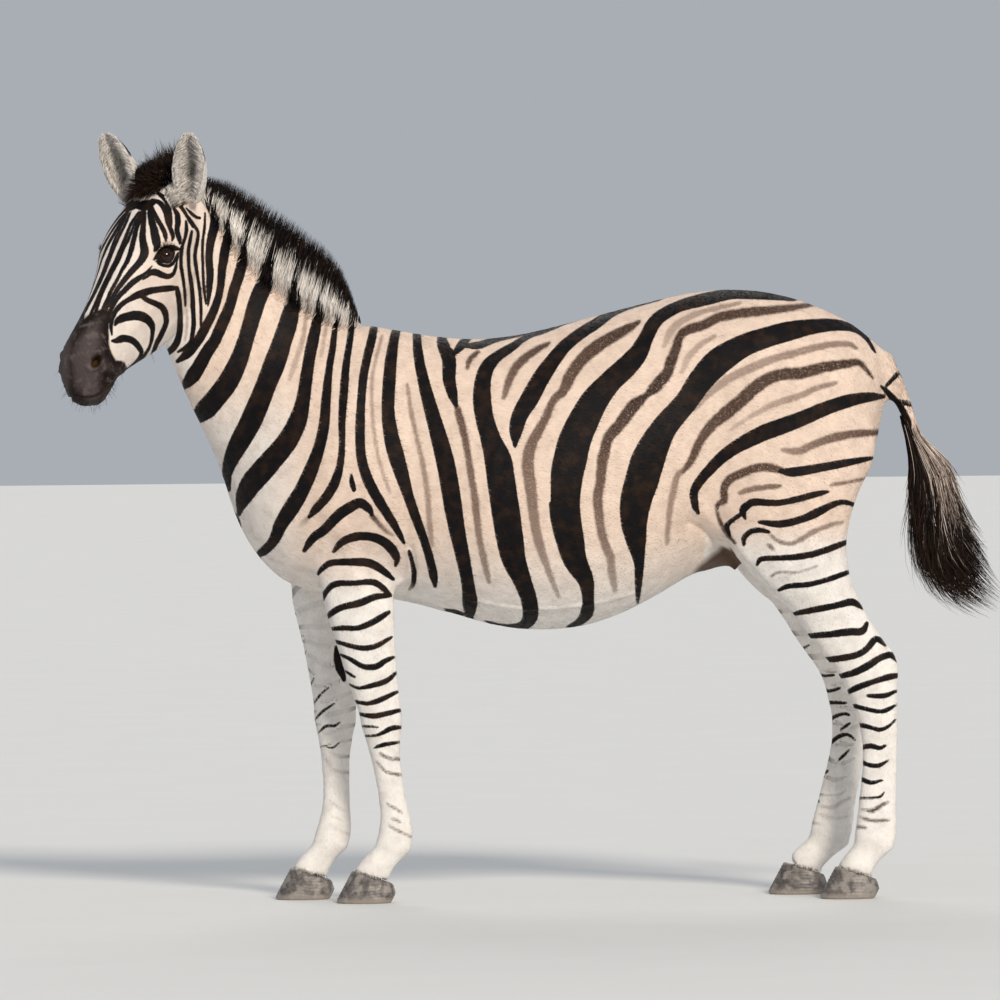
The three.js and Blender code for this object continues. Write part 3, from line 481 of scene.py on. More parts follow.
def ear_axes(side):
    """Out of the ear's mouth, across it and up it, as rows."""
    ahead = np.array([-math.cos(HEAD_YAW), -math.sin(HEAD_YAW), 0])
    left = np.array([math.sin(HEAD_YAW), -math.cos(HEAD_YAW), 0])
    up = unit(np.array([0, 0, 1]) + math.tan(EAR_FORWARD) * ahead + side * EAR_SPLAY[side] * left)
    mouth = np.array([-math.cos(EAR_MOUTH[side]), -math.sin(EAR_MOUTH[side]), 0])
    mouth = unit(mouth - (mouth @ up) * up)
    return np.array([mouth, np.cross(up, mouth), up])


def to_ear(p, side):
    """In an ear's frame, in ear lengths from its root."""
    return (p - from_head(on_side(EAR_ROOT[side], side))) @ ear_axes(side).T / EAR_LENGTH


def earness(p, side):
    """1 on the ear that lies on this side."""
    e = to_ear(p, side)
    return smoothstep(-0.02, 0.14, e[:, 2]) * (np.linalg.norm(e[:, :2], axis=1) < 0.5)


def ears_of(p):
    return np.maximum(earness(p, 1), earness(p, -1))


def legness(p):
    """How much a point belongs to a foreleg, and to a hind leg, below the trunk."""
    fore = smoothstep(0.76, 0.66, p[:, 2]) * (p[:, 0] < -0.2)
    hind = smoothstep(0.86, 0.74, p[:, 2]) * (p[:, 0] > 0.38 + 0.3 * np.clip(0.72 - p[:, 2], 0, 1))
    return fore, hind


def tailness(p):
    middle = along(DOCK_LINE, 2, p[:, 2])
    away = np.linalg.norm(p - middle, axis=1)
    behind = p[:, 0] - (0.800 + 0.25 * (1.19 - p[:, 2]))
    return smoothstep(-0.012, 0.012, behind) * (away < 0.08) * (p[:, 2] > 0.9)


# ---- meshes ----------------------------------------------------------------------------------
def read(data, name, size):
    values = np.empty(len(data) * size, np.float32)
    data.foreach_get(name, values)
    return values.reshape(-1, size).astype(float) if size > 1 else values.astype(float)


def points_of(mesh):
    return read(mesh.vertices, "co", 3)


def set_points(mesh, places):
    mesh.vertices.foreach_set("co", np.asarray(places, np.float32).ravel())
    mesh.update()


def new_object(name, mesh):
    made = bpy.data.objects.new(name, mesh)
    bpy.context.scene.collection.objects.link(made)
    return made


def apply_modifiers(obj):
    graph = bpy.context.evaluated_depsgraph_get()
    mesh = bpy.data.meshes.new_from_object(obj.evaluated_get(graph))
    obj.modifiers.clear()
    obj.data = mesh


def joined(nodes, swell):
    """One object of several CAD nodes in the zebra's own frame, each a little larger so that they meet."""
    whole = bmesh.new()
    for node in nodes:
        part = bmesh.new()
        part.from_mesh(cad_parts[node].data)
        bmesh.ops.remove_doubles(part, verts=part.verts, dist=1e-5)
        bmesh.ops.recalc_face_normals(part, faces=part.faces)
        part.normal_update()
        for v in part.verts:
            v.co += v.normal * swell - Vector(SHIFT)
        mesh = bpy.data.meshes.new(node)
        part.to_mesh(mesh)
        part.free()
        whole.from_mesh(mesh)
    mesh = bpy.data.meshes.new("joined")
    whole.to_mesh(mesh)
    whole.free()
    return new_object("joined", mesh)


def remeshed(obj, voxel):
    step = obj.modifiers.new("remesh", "REMESH")
    step.mode = "VOXEL"
    step.voxel_size = voxel
    apply_modifiers(obj)


def softened(obj, strength, rounds):
    """Smooths each vertex by its own strength, 0 to 1."""
    group = obj.vertex_groups.new(name="soften")
    levels = np.round(np.clip(strength, 0, 1) * 200).astype(int)
    for level in np.unique(levels):
        if level:
            group.add(np.flatnonzero(levels == level).tolist(), level / 200, "REPLACE")
    step = obj.modifiers.new("soften", "SMOOTH")
    step.factor = 0.5
    step.iterations = rounds
    step.vertex_group = group.name
    apply_modifiers(obj)
    obj.vertex_groups.clear()


def divided(obj, chosen):
    """Splits the faces whose centre is chosen into finer ones."""
    mesh = bmesh.new()
    mesh.from_mesh(obj.data)
    mesh.faces.ensure_lookup_table()
    edges = {e for face, wanted in zip(mesh.faces, chosen) if wanted for e in face.edges}
    bmesh.ops.subdivide_edges(mesh, edges=list(edges), cuts=1, use_grid_fill=True)
    bmesh.ops.triangulate(mesh, faces=[f for f in mesh.faces if len(f.verts) > 4])
    mesh.to_mesh(obj.data)
    mesh.free()


def face_centres(mesh):
    return read(mesh.polygons, "center", 3)


# ---- eyes, lids, nostrils and mouth ------------------------------------------------------------
# In the head's frame: the way an eye looks, the way to its inner corner, and up across both.
GAZE = unit([0.35, 0.75, 0.56])
TO_CORNER = unit([0.767, -0.573, 0.291])
EYE_UP = np.cross(TO_CORNER, GAZE)
# The opening between the lids, as angles at the eyeball's centre: half its length, its height up
# and its height down.
LID_CORNER, LID_UPPER, LID_LOWER = (math.radians(angle) for angle in (64, 37, 36))
UPPER_SLANT = 0.12  # how much further up the upper lid lies towards the outer corner
LID_REACH = 0.030  # how far from the eyeball's centre the lids' angles hold
LID_MARGIN = 0.0052  # the width of the lids' black edge
# How far outside the opening, and how high the lid stands there over the eyeball.
LID_PROFILE = [(-0.004, -0.005), (0, 0), (0.0025, 0.003), (0.005, 0.0036), (0.0065, 0.0022), (0.009, 0.004)]


def eye_view(p, side):
    """Around one eye's centre: place, distance, and the angles towards the inner corner and upwards."""
    q = to_head(p) * [1, side, 1] - EYE
    ahead = q @ GAZE
    return q, np.linalg.norm(q, axis=1), np.arctan2(q @ TO_CORNER, ahead), np.arctan2(q @ EYE_UP, ahead)


def upper_lid(inward):
    """How far up the upper lid's edge lies, as an angle."""
    reach = np.clip(1 - (inward / LID_CORNER) ** 2, 0, 1)
    return LID_UPPER * reach ** 0.8 - UPPER_SLANT * inward * reach


def lid_gap(away, inward, upward):
    """How far outside the opening between the lids, in metres along the eyeball; negative inside it."""
    lower = LID_LOWER * np.clip(1 - (inward / LID_CORNER) ** 2, 0, 1) ** 0.9
    across = np.where(upward > 0, upward - upper_lid(inward), -upward - lower)
    past_corner = np.abs(inward) - LID_CORNER
    beyond = np.hypot(past_corner, np.maximum(across, 0))
    gap = np.where(past_corner > 0, beyond, np.maximum(across, past_corner * 0.6))
    return gap * EYE_RADIUS + np.maximum(away - LID_REACH, 0)


def shape_lids(p, side):
    q, away, inward, upward = eye_view(p, side)
    gap = lid_gap(away, inward, upward)
    lid = EYE_RADIUS + np.interp(gap, *zip(*LID_PROFILE))
    near = (away < 0.055) * smoothstep(-0.2, 0.15, np.cos(inward) * np.cos(upward))
    wanted = mix(lid, away, smoothstep(0.007, 0.019, gap))
    fold = 0.0012 * bell(gap, 0.0125, 0.0018) * (upward > 0)
    fold += 0.0009 * bell(gap, 0.0115, 0.002) * (upward < 0)
    wanted = mix(away, wanted, near) - fold * near
    moved = q * (wanted / np.maximum(away, 1e-6))[:, None] + EYE
    return np.where((near > 0)[:, None], from_head(moved * [1, side, 1]), p)


# A nostril: the way out of it, its slant on the face, its half-length and half-width, how much it
# bends, its rim's height, its depth, and how far from it the shape is cut off.
NOSTRIL_OUT = unit([0.25, 0.75, 0.60])
NOSTRIL_SLANT = math.radians(-14)
NOSTRIL_LONG, NOSTRIL_WIDE, NOSTRIL_BEND = 0.0185, 0.0100, 6.0
NOSTRIL_RIM, NOSTRIL_PIT, NOSTRIL_NEAR = 0.0042, 0.017, 0.035


def nostril_view(p, side):
    """Around one nostril: radii from its middle, and how far out of it."""
    q = to_head(p) * [1, side, 1] - NOSTRIL
    down = np.array([math.cos(NOSTRIL_SLANT), 0.25, -math.sin(NOSTRIL_SLANT)])
    down = unit(down - (down @ NOSTRIL_OUT) * NOSTRIL_OUT)
    x, y = q @ down, q @ np.cross(NOSTRIL_OUT, down)
    return np.hypot(x / NOSTRIL_LONG, (y + NOSTRIL_BEND * x * x) / NOSTRIL_WIDE), q @ NOSTRIL_OUT


def shape_nostril(p, side):
    reach, depth = nostril_view(p, side)
    push = NOSTRIL_RIM * bell(reach, 1.35, 0.32) - NOSTRIL_PIT * smoothstep(1.0, 0.35, reach)
    push *= np.abs(depth) < NOSTRIL_NEAR
    return p + push[:, None] * ((NOSTRIL_OUT * [1, side, 1]) @ HEAD_AXES)


# The line between the lips on the side view, from the corner of the mouth to the front.
MOUTH = [(121, 373), (114, 382), (105, 391), (95, 396.5), (84, 397.5), (74, 395)]
LIP_LINE = 0.0022  # its half-width in metres
STROKE_SWELL = 1.08  # the drawn widths are a little narrow


def inside_line(at, path):
    """Signed distance inside a line without width, in chart units."""
    return stroke(at, [(right, down, 0) for right, down in path])[0]


def stroke(at, curve, blunt=0.0):
    """Signed distance inside a stroke of changing width, in chart units, and the place along it, 0 to 1.

    A stroke narrows towards its ends, less so a thin one, and a blunt one not at all.
    """
    fine = through(curve, 4)
    step = np.linalg.norm(np.diff(fine[:, :2], axis=0), axis=1)
    run = np.append(0, np.cumsum(step))
    least = np.maximum(np.interp(fine[:, 2], [4, 9], [0.75, 0.45]), blunt)
    to_end = np.minimum(run, run[-1] - run) / (1.2 * fine[:, 2] + 0.01)
    fine[:, 2] *= np.clip(least + (1 - least) * to_end, 0, 1)
    best, place = np.full(len(at), -1e3), np.zeros(len(at))
    for i, (a, b) in enumerate(zip(fine, fine[1:])):
        way = b[:2] - a[:2]
        t = np.clip((at - a[:2]) @ way / max(way @ way, 1e-9), 0, 1)
        away = np.linalg.norm(at - a[:2] - t[:, None] * way, axis=1)
        inside = STROKE_SWELL * mix(a[2], b[2], t) / 2 + 0.1 - away
        place = np.where(inside > best, (i + t) / (len(fine) - 1), place)
        best = np.maximum(best, inside)
    return best, place


def shape_head(p):
    """Lids and nostrils."""
    head = headness(p) > 0.5
    q = p[head]
    for side in SIDES:
        q = shape_lids(q, side)
        q = shape_nostril(q, side)
    p[head] = q
    return p


# Folds, muscles and veins on the side view: height in metres, width in chart units, and the path.
FOLDS = [
    (-0.0045, 2.2, [(394, 592), (408, 588), (414, 572), (411, 548)]),
    (-0.0030, 2.0, [(402, 578), (406, 562), (402, 544)]),
    (0.0030, 3.0, [(399, 584), (409, 572), (406, 552)]),
    (0.0028, 1.6, [(470, 600), (510, 608), (553, 609), (600, 603), (640, 592)]),
    (0.0075, 7.0, [(697, 508), (712, 522), (728, 540), (742, 560)]),
    (-0.0060, 3.0, [(690, 524), (704, 532), (722, 548), (738, 566)]),
    (0.0050, 10.0, [(318, 500), (345, 540), (352, 580)]),
    (-0.0035, 7.0, [(404, 380), (412, 430), (414, 480), (404, 530)]),
    (0.0040, 9.0, [(360, 370), (345, 420), (325, 470)]),
    (-0.0030, 8.0, [(800, 330), (812, 400), (815, 470), (830, 540)]),
    (0.0040, 10.0, [(760, 330), (745, 400), (735, 460)]),
    (-0.0028, 3.0, [(868, 590), (878, 625), (890, 650)]),
    (0.0016, 2.5, [(378, 650), (384, 690), (386, 720)]),
    (-0.0022, 2.5, [(392, 640), (397, 680), (399, 712)]),
    (-0.0016, 2.0, [(386, 750), (393, 790), (397, 820)]),
    (-0.0016, 2.0, [(878, 740), (880, 780), (878, 815)]),
    (0.0020, 6.0, [(148, 290), (170, 285), (190, 300)]),
]


# The ribs that show faintly: pitch in chart units, height in metres, and where and how far they reach,
# right and down, in chart units.
RIB_PITCH, RIB_HEIGHT = 17, 0.0009
RIB_MIDDLE, RIB_REACH = (500, 490), (55, 60)


def relief(p, normal):
    """Heights of the finer forms along the skin's normal."""
    side_view = chart(mirrored(p, normal))
    facing = smoothstep(0.25, 0.6, np.abs(normal[:, 1]))
    height = np.zeros(len(p))
    for rise, reach, path in FOLDS:
        away = np.minimum(inside_line(side_view, path), 0)
        height += facing * rise * bell(away, 0, reach)
    right, down = side_view.T
    ribs = np.sin((right + 0.25 * (down - 450)) * 2 * math.pi / RIB_PITCH)
    around_ribs = bell(right, RIB_MIDDLE[0], RIB_REACH[0]) * bell(down, RIB_MIDDLE[1], RIB_REACH[1])
    height += RIB_HEIGHT * ribs * around_ribs * facing
    head = np.flatnonzero(headness(p) > 0.5)
    q = to_head(p[head])
    at = chart(from_head(q * [1, 0, 1] + np.abs(q) * [0, 1, 0]))
    lips = -inside_line(at, MOUTH) * MM_PER_UNIT / 1000
    bare = smoothstep(0.41, 0.47, q[:, 0])
    h = -0.0030 * bell(lips, 0, LIP_LINE) + 0.0016 * bell(lips, 0.006, 0.004)
    ripple = np.sin(q[:, 0] * 330 + 7 * np.sin(q[:, 1] * 83 + 1) + 6 * np.sin(q[:, 2] * 97))
    cross = np.sin(q[:, 1] * 510 + 8 * np.sin(q[:, 0] * 110) + 5 * np.sin(q[:, 2] * 71))
    nostril = np.minimum(nostril_view(p[head], 1)[0], nostril_view(p[head], -1)[0])
    h += bare * smoothstep(1.2, 2.4, nostril) * (0.00025 * ripple + 0.0003 * cross)
    height[head] = h
    return height


# ---- painting --------------------------------------------------------------------------------
FAR = -60.0  # mm inside a stroke that isn't near
STROKE_REACH = 16  # chart units round a stroke where its distance is worked out
INNER_FROM = -0.012  # a leg's inner side starts this far outside the leg's middle
MARGIN_REACH = 0.0265  # from the eyeball's centre, where the lids' black edge ends


def mirrored(p, normal):
    """The right side laid over the left one, so that both carry the same markings."""
    t = p @ NECK_AXIS
    line = along(NECK_LINE, 0, t)
    yaw = np.radians(line[:, 3])
    left = np.stack([np.sin(yaw), -np.cos(yaw), np.zeros(len(p))], 1)
    aside = np.sum((p[:, :2] - line[:, 1:3]) * left[:, :2], axis=1)
    by_neck = p + (np.abs(aside) - aside)[:, None] * left
    q = to_head(p)
    by_head = from_head(np.stack([q[:, 0], np.abs(q[:, 1]), q[:, 2]], 1))
    # The side that faces the viewer keeps its own place, past the middle of the throat and the jaw too.
    seen = smoothstep(0.30, 0.0, normal[:, 1]) * smoothstep(-0.50, -0.60, p[:, 0])
    by_neck = mix(by_neck, p, seen[:, None])
    jaw = smoothstep(-0.05, -0.09, q[:, 2]) * smoothstep(0.34, 0.26, q[:, 0])
    by_head = mix(by_head, p, (seen * jaw)[:, None])
    over = mix(by_neck, by_head, headness(p)[:, None])
    # A right leg stands elsewhere than its fellow.
    right = smoothstep(0, 0.06, p[:, 1])
    fore, hind = along(FORE_LINE, 0, p[:, 2]), along(HIND_LINE, 0, p[:, 2])
    fore_part = smoothstep(1.0, 0.8, p[:, 2]) * smoothstep(-0.15, -0.28, p[:, 0])
    hind_part = smoothstep(1.12, 0.85, p[:, 2]) * smoothstep(0.30, 0.42, p[:, 0])
    over[:, 0] += right * (fore[:, 1] - fore[:, 2]) * fore_part
    over[:, 0] += right * (hind[:, 1] - hind[:, 2]) * hind_part
    return over


def drawn(at, curves, blunt=0.0):
    """Signed distance in mm inside the nearest of some strokes, and how dark it is there.

    A curve may come with its darkness at its start and at its end before its points.
    """
    best, dark = np.full(len(at), FAR), np.ones(len(at))
    for curve in curves.values():
        start, end = 1, 1
        if not isinstance(curve[0], tuple):
            start, end, curve = curve
        knots = np.array(curve)
        low, high = knots[:, :2].min(0) - STROKE_REACH, knots[:, :2].max(0) + STROKE_REACH
        near = np.flatnonzero(((at > low) & (at < high)).all(1))
        if len(near) == 0:
            continue
        inside, place = stroke(at[near], curve, blunt)
        inside *= MM_PER_UNIT
        better = inside > best[near]
        dark[near] = np.where(better, mix(start, end, place), dark[near])
        best[near] = np.maximum(best[near], inside)
    return best, dark


def ear_markings(p, normal):
    """How much a point belongs to the ears' black band behind, to their pale inside and to the painted shade
    deep in its hollow.
    """
    back, inside, hollow_shade = (np.zeros(len(p)) for _ in range(3))
    for side in SIDES:
        e = to_ear(p, side)
        open_side = smoothstep(0.0, 0.35, normal @ ear_axes(side)[0])
        band = smoothstep(0.48, 0.54, e[:, 2]) * smoothstep(0.90, 0.82, e[:, 2])
        back = np.maximum(back, earness(p, side) * band * (1 - open_side))
        cup = smoothstep(-0.16, -0.08, e[:, 2]) * (np.linalg.norm(e[:, :2], axis=1) < 0.36)
        inside = np.maximum(inside, cup * open_side)
        # Painted shade: darker deep in the ear's cup, where shade falls.
        deep = 0.8 * bell(e[:, 1], 0.03, 0.09) * bell(e[:, 2], 0.16, 0.22)
        hollow_shade = np.maximum(hollow_shade, cup * open_side * deep)
    return back, inside, hollow_shade


def warmth(p, leg, head):
    """How cream the pale stripes are: most on the trunk, less on the breast and the face, not on the legs."""
    warm = smoothstep(0.60, 0.86, p[:, 2]) * (1 - leg)
    warm *= 1 - 0.75 * smoothstep(-0.48, -0.60, p[:, 0]) * smoothstep(1.22, 1.02, p[:, 2])
    return np.where(head, 0.25 + 0.5 * smoothstep(0.02, 0.09, np.abs(to_head(p)[:, 1])), warm)


def paint(p, normal):
    """The markings' attributes for points of the skin."""
    at = chart(mirrored(p, normal))
    stripe, stripe_dark = drawn(at, BLACK)
    shade, shade_dark = drawn(at, SHADOW)
    # The stripes fade on the legs' inner sides; the right legs have their own there, seen from the left.
    leg = np.maximum(*legness(p))
    fore_line, hind_line = along(FORE_LINE, 0, p[:, 2]), along(HIND_LINE, 0, p[:, 2])
    inner = np.where(p[:, 0] < 0, fore_line[:, 3], hind_line[:, 3]) - np.abs(p[:, 1])
    fade = 1 - 0.9 * smoothstep(INNER_FROM, 0.030, inner) * leg
    stripe_dark *= fade
    shade_dark *= fade
    extra, _ = drawn(chart(p), INNER_BLACK)
    use = (p[:, 1] > 0) & (leg > 0.3) & (inner > INNER_FROM)
    use &= (extra > -6) & (extra > np.where(fade < 0.7, FAR, stripe))
    stripe = np.where(use, extra, stripe)
    stripe_dark = np.where(use, smoothstep(INNER_FROM, 0.0, inner), stripe_dark)
    head = headness(p) > 0.5
    muzzle = np.where(head, drawn(at, MUZZLE, blunt=1.0)[0], FAR)
    ear, (ear_back, ear_in, hollow_shade) = ears_of(p), ear_markings(p, normal)
    # Painted shade along the crease between the lips, added to the painted shade of the ears' hollows.
    hollow_shade = np.maximum(hollow_shade, head * bell(inside_line(at, MOUTH) * MM_PER_UNIT / 1000, 0, LIP_LINE))
    nostril = np.zeros(len(p))
    for side in SIDES:
        reach, depth = nostril_view(p, side)
        opening = smoothstep(0.95, 0.70, reach) * (np.abs(depth) < NOSTRIL_NEAR)
        nostril = np.maximum(nostril, head * opening)
        _, away, inward, upward = eye_view(p, side)
        margin = (LID_MARGIN - lid_gap(away, inward, upward) - np.maximum(away - MARGIN_REACH, 0)) * 1000
        stripe = np.where(away < 0.04, np.maximum(stripe, margin), stripe)
    udder = np.linalg.norm((p - UDDER_MIDDLE) / UDDER_SIZE, axis=1)
    return {"stripe": stripe, "stripe_dark": stripe_dark * (1 - ear),
            "shade": shade, "shade_dark": shade_dark * (1 - ear),
            "muzzle": muzzle, "ear_in": ear_in, "ear_back": ear_back, "hollow_shade": hollow_shade, "nostril": nostril,
            "warm": warmth(p, leg, head) * (1 - ear), "udder": smoothstep(1.15, 0.85, udder)}


# ---- the skin's unwrap: each region's rectangle on the map, around it and along it ---------------
ISLANDS = {"trunk": (0.00, 0.00, 0.62, 0.47), "neck": (0.64, 0.00, 0.99, 0.30),
           "head": (0.00, 0.49, 0.62, 0.99),
           "ear 1": (0.64, 0.32, 0.80, 0.47), "ear -1": (0.82, 0.32, 0.98, 0.47),
           "fore -1": (0.64, 0.49, 0.71, 0.90), "fore 1": (0.73, 0.49, 0.80, 0.90),
           "hind -1": (0.82, 0.49, 0.89, 0.90), "hind 1": (0.91, 0.49, 0.98, 0.90),
           "tail": (0.64, 0.92, 0.98, 0.98)}


def region_of(p):
    fore, hind = legness(p)
    region = np.full(len(p), "trunk", object)
    region[(p[:, 0] * 0.53 - (p[:, 2] - 1.30) * 0.85 < -0.43 * 0.53) & (p[:, 0] < -0.3)] = "neck"
    for name, part in (("fore", fore), ("hind", hind)):
        for side in (-1, 1):
            region[(part > 0.5) & (p[:, 1] * side > 0)] = f"{name} {side}"
    region[tailness(p) > 0.5] = "tail"
    region[headness(p) > 0.5] = "head"
    for side in (-1, 1):
        region[earness(p, side) > 0.5] = f"ear {side}"
    return region


def around(p, region):
    """Angle round a region's axis, and 0 to 1 along it."""
    kind, _, side = region.partition(" ")
    if kind == "trunk":
        return np.arctan2(p[:, 1], p[:, 2] - 0.98), (p[:, 0] + 0.70) / 1.60
    if kind == "neck":
        line = along(NECK_LINE, 0, p @ NECK_AXIS)
        yaw = np.radians(line[:, 3])
        aside = (p[:, 0] - line[:, 1]) * np.sin(yaw) - (p[:, 1] - line[:, 2]) * np.cos(yaw)
        ahead = (p[:, 0] - line[:, 1]) * 0.84 + (p[:, 2] - 1.26 - (line[:, 0] - 1.4) * 0.84) * 0.54
        return np.arctan2(aside, ahead), (p @ NECK_AXIS - 0.95) / 0.95
    if kind == "head":
        q = to_head(p)
        middle = np.interp(q[:, 0], [0, 0.15, 0.5, 0.55], [-0.10, -0.11, -0.08, -0.09])
        return np.arctan2(q[:, 1], q[:, 2] - middle), (q[:, 0] + 0.12) / 0.72
    if kind == "ear":
        e = to_ear(p, int(side))
        return np.arctan2(e[:, 1], e[:, 0] + 0.05), e[:, 2] / 1.05
    if kind == "tail":
        middle = along(DOCK_LINE, 2, p[:, 2])
        return np.arctan2(p[:, 1] - middle[:, 1], p[:, 0] - middle[:, 0]), (p[:, 2] - 0.94) / 0.32
    line = along(FORE_LINE if kind == "fore" else HIND_LINE, 0, p[:, 2])
    x = line[:, 1] if side == "-1" else line[:, 2]
    return np.arctan2(p[:, 1] - int(side) * line[:, 3], p[:, 0] - x), p[:, 2] / 0.82


def unwrap(obj):
    """Gives the skin its UV map for baking."""
    mesh = obj.data
    p = points_of(mesh)
    corner_vertex = read(mesh.loops, "vertex_index", 1).astype(int)
    starts = read(mesh.polygons, "loop_start", 1).astype(int)
    sizes = read(mesh.polygons, "loop_total", 1).astype(int)
    face_of_corner = np.repeat(np.arange(len(sizes)), sizes)
    face_region = region_of(face_centres(mesh))
    uv = np.zeros((len(corner_vertex), 2))
    for region, (u0, v0, u1, v1) in ISLANDS.items():
        corners = np.flatnonzero((face_region == region)[face_of_corner])
        if len(corners) == 0:
            continue
        angle, length = around(p[corner_vertex[corners]], region)
        first = np.zeros(len(sizes))
        is_first = np.isin(corners, starts)
        first[face_of_corner[corners[is_first]]] = angle[is_first]
        # A face's corners stay together where the angle jumps from one end to the other.
        turn = angle - first[face_of_corner[corners]]
        angle = angle - 2 * math.pi * ((turn > math.pi).astype(int) - (turn < -math.pi))
        u = np.clip(angle / (2 * math.pi) + 0.5, -0.01, 1.01)
        uv[corners, 0] = mix(u0, u1, 0.02 + 0.96 * u)
        uv[corners, 1] = mix(v0, v1, np.clip(length, 0, 1))
    layer = mesh.uv_layers.new(name="OFBake")
    layer.data.foreach_set("uv", uv.astype(np.float32).ravel())
    return uv


def add_values(mesh, values):
    """Stores one number per vertex under each name."""
    for name, numbers in values.items():
        layer = mesh.attributes.new(name, "FLOAT", "POINT")
        layer.data.foreach_set("value", np.asarray(numbers, np.float32))


def smooth_shaded(mesh):
    mesh.polygons.foreach_set("use_smooth", np.ones(len(mesh.polygons), bool))


def normals_of(mesh):
    return read(mesh.vertex_normals, "vector", 3)


def build_skin():
    """One skin over all the flesh, with its forms, its markings and its map."""
    skin = joined(FLESH + ["eye_left", "eye_right"], NODE_SWELL)
    skin.name = "skin"
    remeshed(skin, VOXEL)
    p = points_of(skin.data)
    kept = zip(KEPT_FIRM, (np.maximum(*legness(p)), headness(p), ears_of(p), tailness(p)))
    softened(skin, math.prod(1 - firm * part for firm, part in kept), SOFTENING_ROUNDS)
    centres = face_centres(skin.data)
    divided(skin, (headness(centres) > 0.4) & (ears_of(centres) < 0.5))
    for side in SIDES:
        centres = face_centres(skin.data)
        eye = np.linalg.norm(centres - from_head(on_side(EYE, side)), axis=1) < FINE_EYE
        nose = np.linalg.norm(centres - from_head(on_side(NOSTRIL, side)), axis=1) < FINE_NOSTRIL
        divided(skin, eye | nose)
    p = shape_head(points_of(skin.data))
    for side in SIDES:
        p -= EAR_DROP[side] * earness(p, side)[:, None] * ear_axes(side)[2]
    set_points(skin.data, p)
    normal = normals_of(skin.data)
    depth = COAT_DEPTH * (1 - 0.7 * headness(p))
    p += normal * (relief(p, normal) - depth)[:, None]
    set_points(skin.data, p)
    values = paint(p, normal)
    add_values(skin.data, values)
    uv = unwrap(skin)
    smooth_shaded(skin.data)
    return skin, values, uv


# ---- hair as solid blades ----------------------------------------------------------------------
UV_PATCH = 0.003  # how much of the map a hair takes each way
TUFT_FACES, PIECE_FACES = 4, 190000  # a tuft's triangles, and the most that one piece of the coat takes


def curling(root, way, reach, bend, shares):
    """Paths that set out along `way` and curl towards `bend`, with points at these shares of `reach`."""
    u = np.array(shares)[None, :, None]
    curve = u * way[:, None] + u ** 2 * np.atleast_2d(bend)[:, None]
    return root[:, None] + np.reshape(reach, (-1, 1, 1)) * curve


def blades(name, paths, widths, across, uv, values):
    """A mesh of three-sided blades, one for each path, ending in a point and closed at its root."""
    count, rings, _ = paths.shape
    way = unit(np.gradient(paths, axis=1))
    across = unit(across[:, None, :] - np.sum(across[:, None, :] * way, -1, keepdims=True) * way)
    ridge = np.cross(way, across)
    half = widths[:, :, None] / 2
    body = np.stack([paths + across * half, paths - across * half, paths + ridge * half * 1.1], 2)[:, :-1]
    body = body.reshape(count, (rings - 1) * 3, 3)
    per = (rings - 1) * 3 + 1
    points = np.concatenate([body, paths[:, -1:]], 1)
    faces = [(0, 2, 1)]
    for j in range(rings - 2):
        for a in range(3):
            b = (a + 1) % 3
            low_a, low_b, high_a, high_b = 3 * j + a, 3 * j + b, 3 * j + 3 + a, 3 * j + 3 + b
            faces += [(low_a, low_b, high_b), (low_a, high_b, high_a)]
    last = 3 * (rings - 2)
    faces += [(last + a, last + (a + 1) % 3, per - 1) for a in range(3)]
    faces = (np.array(faces)[None] + (np.arange(count) * per)[:, None, None]).reshape(-1)
    mesh = bpy.data.meshes.new(name)
    mesh.vertices.add(count * per)
    set_points(mesh, points)
    triangles = len(faces) // 3
    mesh.loops.add(triangles * 3)
    mesh.loops.foreach_set("vertex_index", faces.astype(np.int32))
    mesh.polygons.add(triangles)
    mesh.polygons.foreach_set("loop_start", np.arange(0, triangles * 3, 3, dtype=np.int32))
    mesh.update(calc_edges=True)
    tip = np.append(np.repeat(np.linspace(0, 1, rings)[:-1], 3), 1)
    sideways = np.append(np.tile([0, 1, 0.5], rings - 1), 0.5)
    corner = np.stack([sideways, tip], 1) * UV_PATCH
    spread = (uv[:, None, :] + corner[None]).reshape(-1, 2)
    layer = mesh.uv_layers.new(name="OFBake")
    layer.data.foreach_set("uv", spread[faces].astype(np.float32).ravel())
    add_values(mesh, {key: np.repeat(v, per) for key, v in values.items()})
    add_values(mesh, {"tip": np.tile(tip, count)})
    smooth_shaded(mesh)
    return new_object(name, mesh)


class Surface:
    """The skin's triangles, for scattering hairs over them."""

    def __init__(self, skin, values, uv):
        mesh = skin.data
        mesh.calc_loop_triangles()
        self.corners = read(mesh.loop_triangles, "vertices", 3).astype(int)
        self.loops = read(mesh.loop_triangles, "loops", 3).astype(int)
        self.points, self.normals = points_of(mesh), normals_of(mesh)
        self.values, self.uv = values, uv
        a, b, c = (self.points[self.corners[:, i]] for i in range(3))
        self.centres = (a + b + c) / 3
        self.areas = np.linalg.norm(np.cross(b - a, c - a), axis=1) / 2
        self.facing = unit(np.cross(b - a, c - a))

    def scatter(self, density):
        """Points with so many to the square metre: place, normal, place on the map, markings."""
        wanted = density * self.areas
        chosen = np.repeat(np.arange(len(wanted)), np.floor(wanted + rng.random(len(wanted))).astype(int))
        r = np.sqrt(rng.random((len(chosen), 1)))
        s = rng.random((len(chosen), 1))
        share = np.hstack([1 - r, r * (1 - s), r * s])
        at = self.corners[chosen]
        place = np.einsum("ij,ijk->ik", share, self.points[at])
        normal = unit(np.einsum("ij,ijk->ik", share, self.normals[at]))
        uv = np.einsum("ij,ijk->ik", share, self.uv[self.loops[chosen]])
        values = {key: np.einsum("ij,ij->i", share, v[at]) for key, v in self.values.items()}
        return place, normal, uv, values


